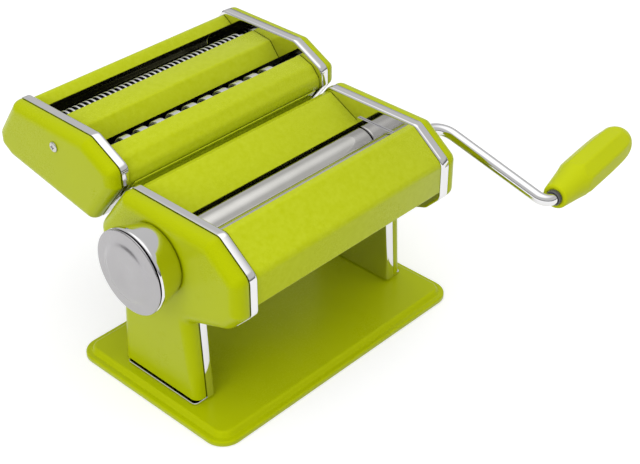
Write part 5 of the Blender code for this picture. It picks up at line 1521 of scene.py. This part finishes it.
# %% Tree: bent rod
def make_rod_tree():
    tree, entry, result = open_tree("bent_rod", ("Rod Radius", FLOAT, 0.004), ("Bend Points", WHOLE, 16))
    own_radius = put_node(tree, "GeometryNodeInputRadius")
    bend = put_node(tree, "GeometryNodeFilletCurve", mode="POLY", Limit_Radius=True)
    even = put_node(tree, "GeometryNodeSetCurveRadius", Radius=1.0)
    join_all(tree, (own_radius.outputs["Radius"], bend.inputs["Radius"]),
             (entry.outputs["Bend Points"], bend.inputs["Count"]))
    return end_swept(tree, entry, result, "Rod Radius", 48, entry, bend, even)


ROD_TREE = make_rod_tree()
print("trees:", [group.name for group in bpy.data.node_groups if group.bl_idname == "GeometryNodeTree"])

# %% [markdown]
# The rod leaves the socket, turns down the arm at the elbow and out into the grip at the wrist. The grip
# turns on the rod's end. It widens in a short cone to a shoulder and runs on in eight soft flats to a
# domed end, and a dark grey sleeve stands out of its mouth.

# %% Crank rod and grip
ROD_RADIUS, CRANK_ARM, CRANK_DROOP, CRANK_LEAN = 0.0040, 0.0869, radians(19.0), radians(5.6)
GRIP_START, GRIP_LENGTH, GRIP_RADIUS, GRIP_NECK, GRIP_BORE = 0.0100, 0.0860, 0.0118, 0.0078, 0.0043
GRIP_REACH, GRIP_SIDES, SLEEVE_RADIUS = 0.60, 96, GRIP_BORE + 0.0009
ELBOW_REACH, ELBOW_BEND, WRIST_BEND = 0.0451, 0.014, 0.008
arm_down = Vector((0.0, -cos(CRANK_DROOP), -sin(CRANK_DROOP)))
arm_out = Vector((1.0, 0.0, 0.0))
arm_line = arm_down * cos(CRANK_LEAN) + arm_out * sin(CRANK_LEAN)
grip_line = arm_out * cos(CRANK_LEAN) - arm_down * sin(CRANK_LEAN)
elbow = Vector((HALF_INNER + ELBOW_REACH, *FRONT_AXIS))
wrist = elbow + arm_line * CRANK_ARM


def make_crank_rod():
    start = Vector((SOCKET_END - SOCKET_DEPTH + 2 * GAP, *FRONT_AXIS))
    end = wrist + grip_line * (GRIP_START + GRIP_REACH * GRIP_LENGTH)
    curve = bpy.data.curves.new("crank_path", "CURVE")
    curve.dimensions = "3D"
    path = curve.splines.new("POLY")
    path.points.add(3)
    bends = ((start, 0.0), (elbow, ELBOW_BEND), (wrist, WRIST_BEND), (end, 0.0))
    for point, (place, radius) in zip(path.points, bends):
        point.co, point.radius = (*place, 1.0), radius
    holder = bpy.data.objects.new("crank_path", curve)
    bpy.context.scene.collection.objects.link(holder)
    bm = grown(holder, ROD_TREE, Rod_Radius=ROD_RADIUS, Bend_Points=16, Material=CHROME_PLATE)
    dress("chrome_crank_rod", bm, CHROME_PLATE, "crank", "crank_rod", soften=0.0003, angle=50.0)


def flattened(radius, share):
    """A round radius drawn part of the way to that of a rounded octagon."""
    def outline(angle):
        turn = (angle + pi / 8) % (pi / 4) - pi / 8
        flat = cos(pi / 8) / cos(turn)
        return radius * (1 - share * (1 - min(1.0, flat * 1.02)))
    return outline


def grip_profile():
    length, mouth, widest = GRIP_LENGTH + 0.0036, -0.0008, GRIP_RADIUS + 0.0012
    counterbore, floor = SLEEVE_RADIUS + GAP, GRIP_REACH * GRIP_LENGTH + 2 * GAP
    stations = [(0.10, GRIP_NECK + 0.0020), (0.20, GRIP_NECK + 0.0034), (0.275, widest - 0.0005),
                (0.305, widest - 0.0001), (0.45, widest), (0.62, widest), (0.78, widest - 0.0004),
                (0.88, 0.88 * widest), (0.95, 0.66 * widest), (0.99, 0.32 * widest)]
    body = smooth_profile([(mouth + 0.0012, GRIP_NECK + 0.0007)] + [(at * length, r) for at, r in stations]
                          + [(length, 0.06 * widest)])
    inside = [(floor, 0.0), (floor, GRIP_BORE), (0.0, GRIP_BORE), (0.0, counterbore),
              (mouth + 0.0005, counterbore), (mouth, counterbore + 0.0005), (mouth, GRIP_NECK - 0.0004),
              (mouth + 0.0004, GRIP_NECK + 0.0003)]
    flats = [held(0.0, min((x / length - 0.26) / 0.03, (0.88 - x / length) / 0.03), 1.0) for x, r in body]
    return inside + [(x, flattened(r, flat)) for (x, r), flat in zip(body, flats)] + [(length + 0.0001, 0.0)]


def make_grip():
    turn = arm_out.rotation_difference(grip_line).to_matrix().to_4x4()
    place = Matrix.Translation(wrist + grip_line * GRIP_START) @ turn
    grip = turned(grip_profile(), GRIP_SIDES)
    grip.transform(place)
    dress("lime_crank_grip", grip, LIME_PLASTIC, "crank_handle", "crank_grip", angle=50.0)
    outer = SLEEVE_RADIUS
    ring = [(-0.0030, GRIP_BORE), (-0.0030, outer - 0.0004), (-0.0027, outer - 0.0001),
            (-GAP - 0.0002, outer), (-GAP, outer - 0.0002), (-GAP, GRIP_BORE)]
    sleeve = turned(ring, TURNED_SIDES, ring=True)
    sleeve.transform(place)
    dress("dark_grip_sleeve", sleeve, GREY_SLEEVE, "crank_handle", "grip_washer")


make_crank_rod()
make_grip()

# %% [markdown]
# ## Cover screws
# One pan-head screw holds each of the attachment's covers. The head is domed, and its cross recess is
# cut by two crossed blocks, so the dark cross catches light as a real one does.

# %% Cover screws
HEAD_RADIUS, RECESS = 0.0032, (0.0016, 0.0004)


def make_screw(side, label):
    y, z = COVER_SCREW
    start, seat = CUTTER_HALF + PLATE_SHEET + GAP, CUTTER_FACE + GAP
    half = [(start, 0.0), (start, STUD_RADIUS), (seat, STUD_RADIUS), (seat, HEAD_RADIUS)]
    half += [(seat + 0.0004 + 0.0007 * sin(a), HEAD_RADIUS * cos(a) ** 0.8) for a in quarter(8)[:-1]]
    half.append((seat + 0.0011, 0.0))
    low_x, high_x = sorted((side * (seat + 0.0004), side * (seat + 0.0020)))
    long, thin = RECESS
    cross = [block((low_x, y - a, z - b), (high_x, y + a, z + b)) for a, b in ((long, thin), (thin, long))]
    dress(f"pan_screw_{label}", turned(sided(side, half), 48, COVER_SCREW), ZINC_PLATE,
          "cutter_head", f"cover_screw_{label}", holes=cross)


for side, label in SIDES:
    make_screw(side, label)

# %% [markdown]
# ## Floor, room and lamps
# The ground should read as white without any more light on the machine. One shared group tells by the
# kind of ray whether a surface is being looked at, straight on or in a mirror or through glass.

# %% Group: seen or mirrored
def make_seen_group():
    """1 for rays of the camera and for mirrored or transmitted ones, 0 for diffuse light."""
    group, _, result = open_group("seen_or_mirrored", [], [("Seen", FLOAT)])
    light = put_node(group, "ShaderNodeLightPath").outputs
    mirrored_ray = math_node(group, "MAXIMUM", light["Is Glossy Ray"], light["Is Transmission Ray"])
    join(group, math_node(group, "MAXIMUM", light["Is Camera Ray"], mirrored_ray), result.inputs["Seen"])
    return group


SEEN_GROUP = make_seen_group()

# %% [markdown]
# The floor is pale and matt, and it takes the machine's shadow. For the rays that the group picks out it
# gives off a little white as well.

# %% Floor
FLOOR_SIZE, FLOOR_WHITE, FLOOR_LIFT = 12.0, 0.62, 0.50


def make_floor():
    half = FLOOR_SIZE / 2
    floor = make_mesh_object("white_floor", block((-half, -half, -0.02), (half, half, 0.0)))
    material = bpy.data.materials.new("white_floor")
    material.use_nodes = True
    tree = material.node_tree
    shader = tree.nodes["Principled BSDF"]
    for name, value in (("Base Color", (FLOOR_WHITE,) * 3 + (1,)), ("Roughness", 0.7),
                        ("Specular IOR Level", 0.2), ("Emission Color", (1, 1, 1, 1))):
        shader.inputs[name].default_value = value
    seen = put_group(tree, SEEN_GROUP).outputs["Seen"]
    join(tree, math_node(tree, "MULTIPLY", seen, FLOOR_LIFT), shader.inputs["Emission Strength"])
    floor.data.materials.append(material)


make_floor()
print("floor albedo:", FLOOR_WHITE, "lift for the camera:", FLOOR_LIFT)

# %% [markdown]
# The room is a pale sky over a dark band low down. The band gives the bright metal its thin dark lines,
# and the brighter top of the sky lights the roofs of the panels.

# %% World
HORIZON_SHADE, SKY_SHADE, ZENITH_SHADE = 0.12, 0.62, 1.40
HORIZON_BAND, ZENITH_BAND = (0.03, 0.30), (0.66, 0.92)


def soft_step(tree, value, band, low, high):
    """Goes softly from low to high while the value crosses the band."""
    step = put_node(tree, "ShaderNodeMapRange", interpolation_type="SMOOTHSTEP", From_Min=band[0],
                    From_Max=band[1], To_Min=low, To_Max=high)
    join(tree, value, step.inputs["Value"])
    return step.outputs["Result"]


def make_world():
    world = bpy.data.worlds.new("soft_room")
    world.use_nodes = True
    bpy.context.scene.world = world
    tree = world.node_tree
    background = tree.nodes["Background"]
    place = put_node(tree, "ShaderNodeTexCoord")
    direction = put_node(tree, "ShaderNodeSeparateXYZ")
    join(tree, place.outputs["Generated"], direction.inputs[0])
    height = direction.outputs["Z"]
    sky = soft_step(tree, height, HORIZON_BAND, HORIZON_SHADE, SKY_SHADE)
    top = soft_step(tree, height, ZENITH_BAND, 0.0, ZENITH_SHADE - SKY_SHADE)
    join(tree, math_node(tree, "ADD", sky, top), background.inputs["Color"])
    background.inputs["Strength"].default_value = 1.0
    return world


print("world:", make_world().name)

# %% [markdown]
# Two round softboxes give the shapes their shading: a key from the left and a weak fill from the front.
# They are left out of mirrors, where they would show as hard round spots.

# %% Lamps
def make_lamp(name, place, target, size, watts):
    data = bpy.data.lights.new(name, "AREA")
    data.shape, data.size, data.energy = "DISK", size, watts
    lamp = bpy.data.objects.new(name, data)
    bpy.context.scene.collection.objects.link(lamp)
    aim = (Vector(target) - Vector(place)).normalized()
    lamp.matrix_world = Matrix.Translation(place) @ aim.to_track_quat("-Z", "Y").to_matrix().to_4x4()
    lamp.visible_glossy = False
    return lamp


key = make_lamp("key_softbox", (-1.6, -0.5, 0.85), (0.0, 0.0, 0.1), 1.4, 11.0)
fill = make_lamp("fill_softbox", (1.0, -1.1, 0.9), (0.0, 0.0, 0.08), 1.0, 1.5)
bpy.context.scene.view_settings.view_transform = "Standard"
print("lamps:", key.name, key.data.energy, "W and", fill.name, fill.data.energy, "W")
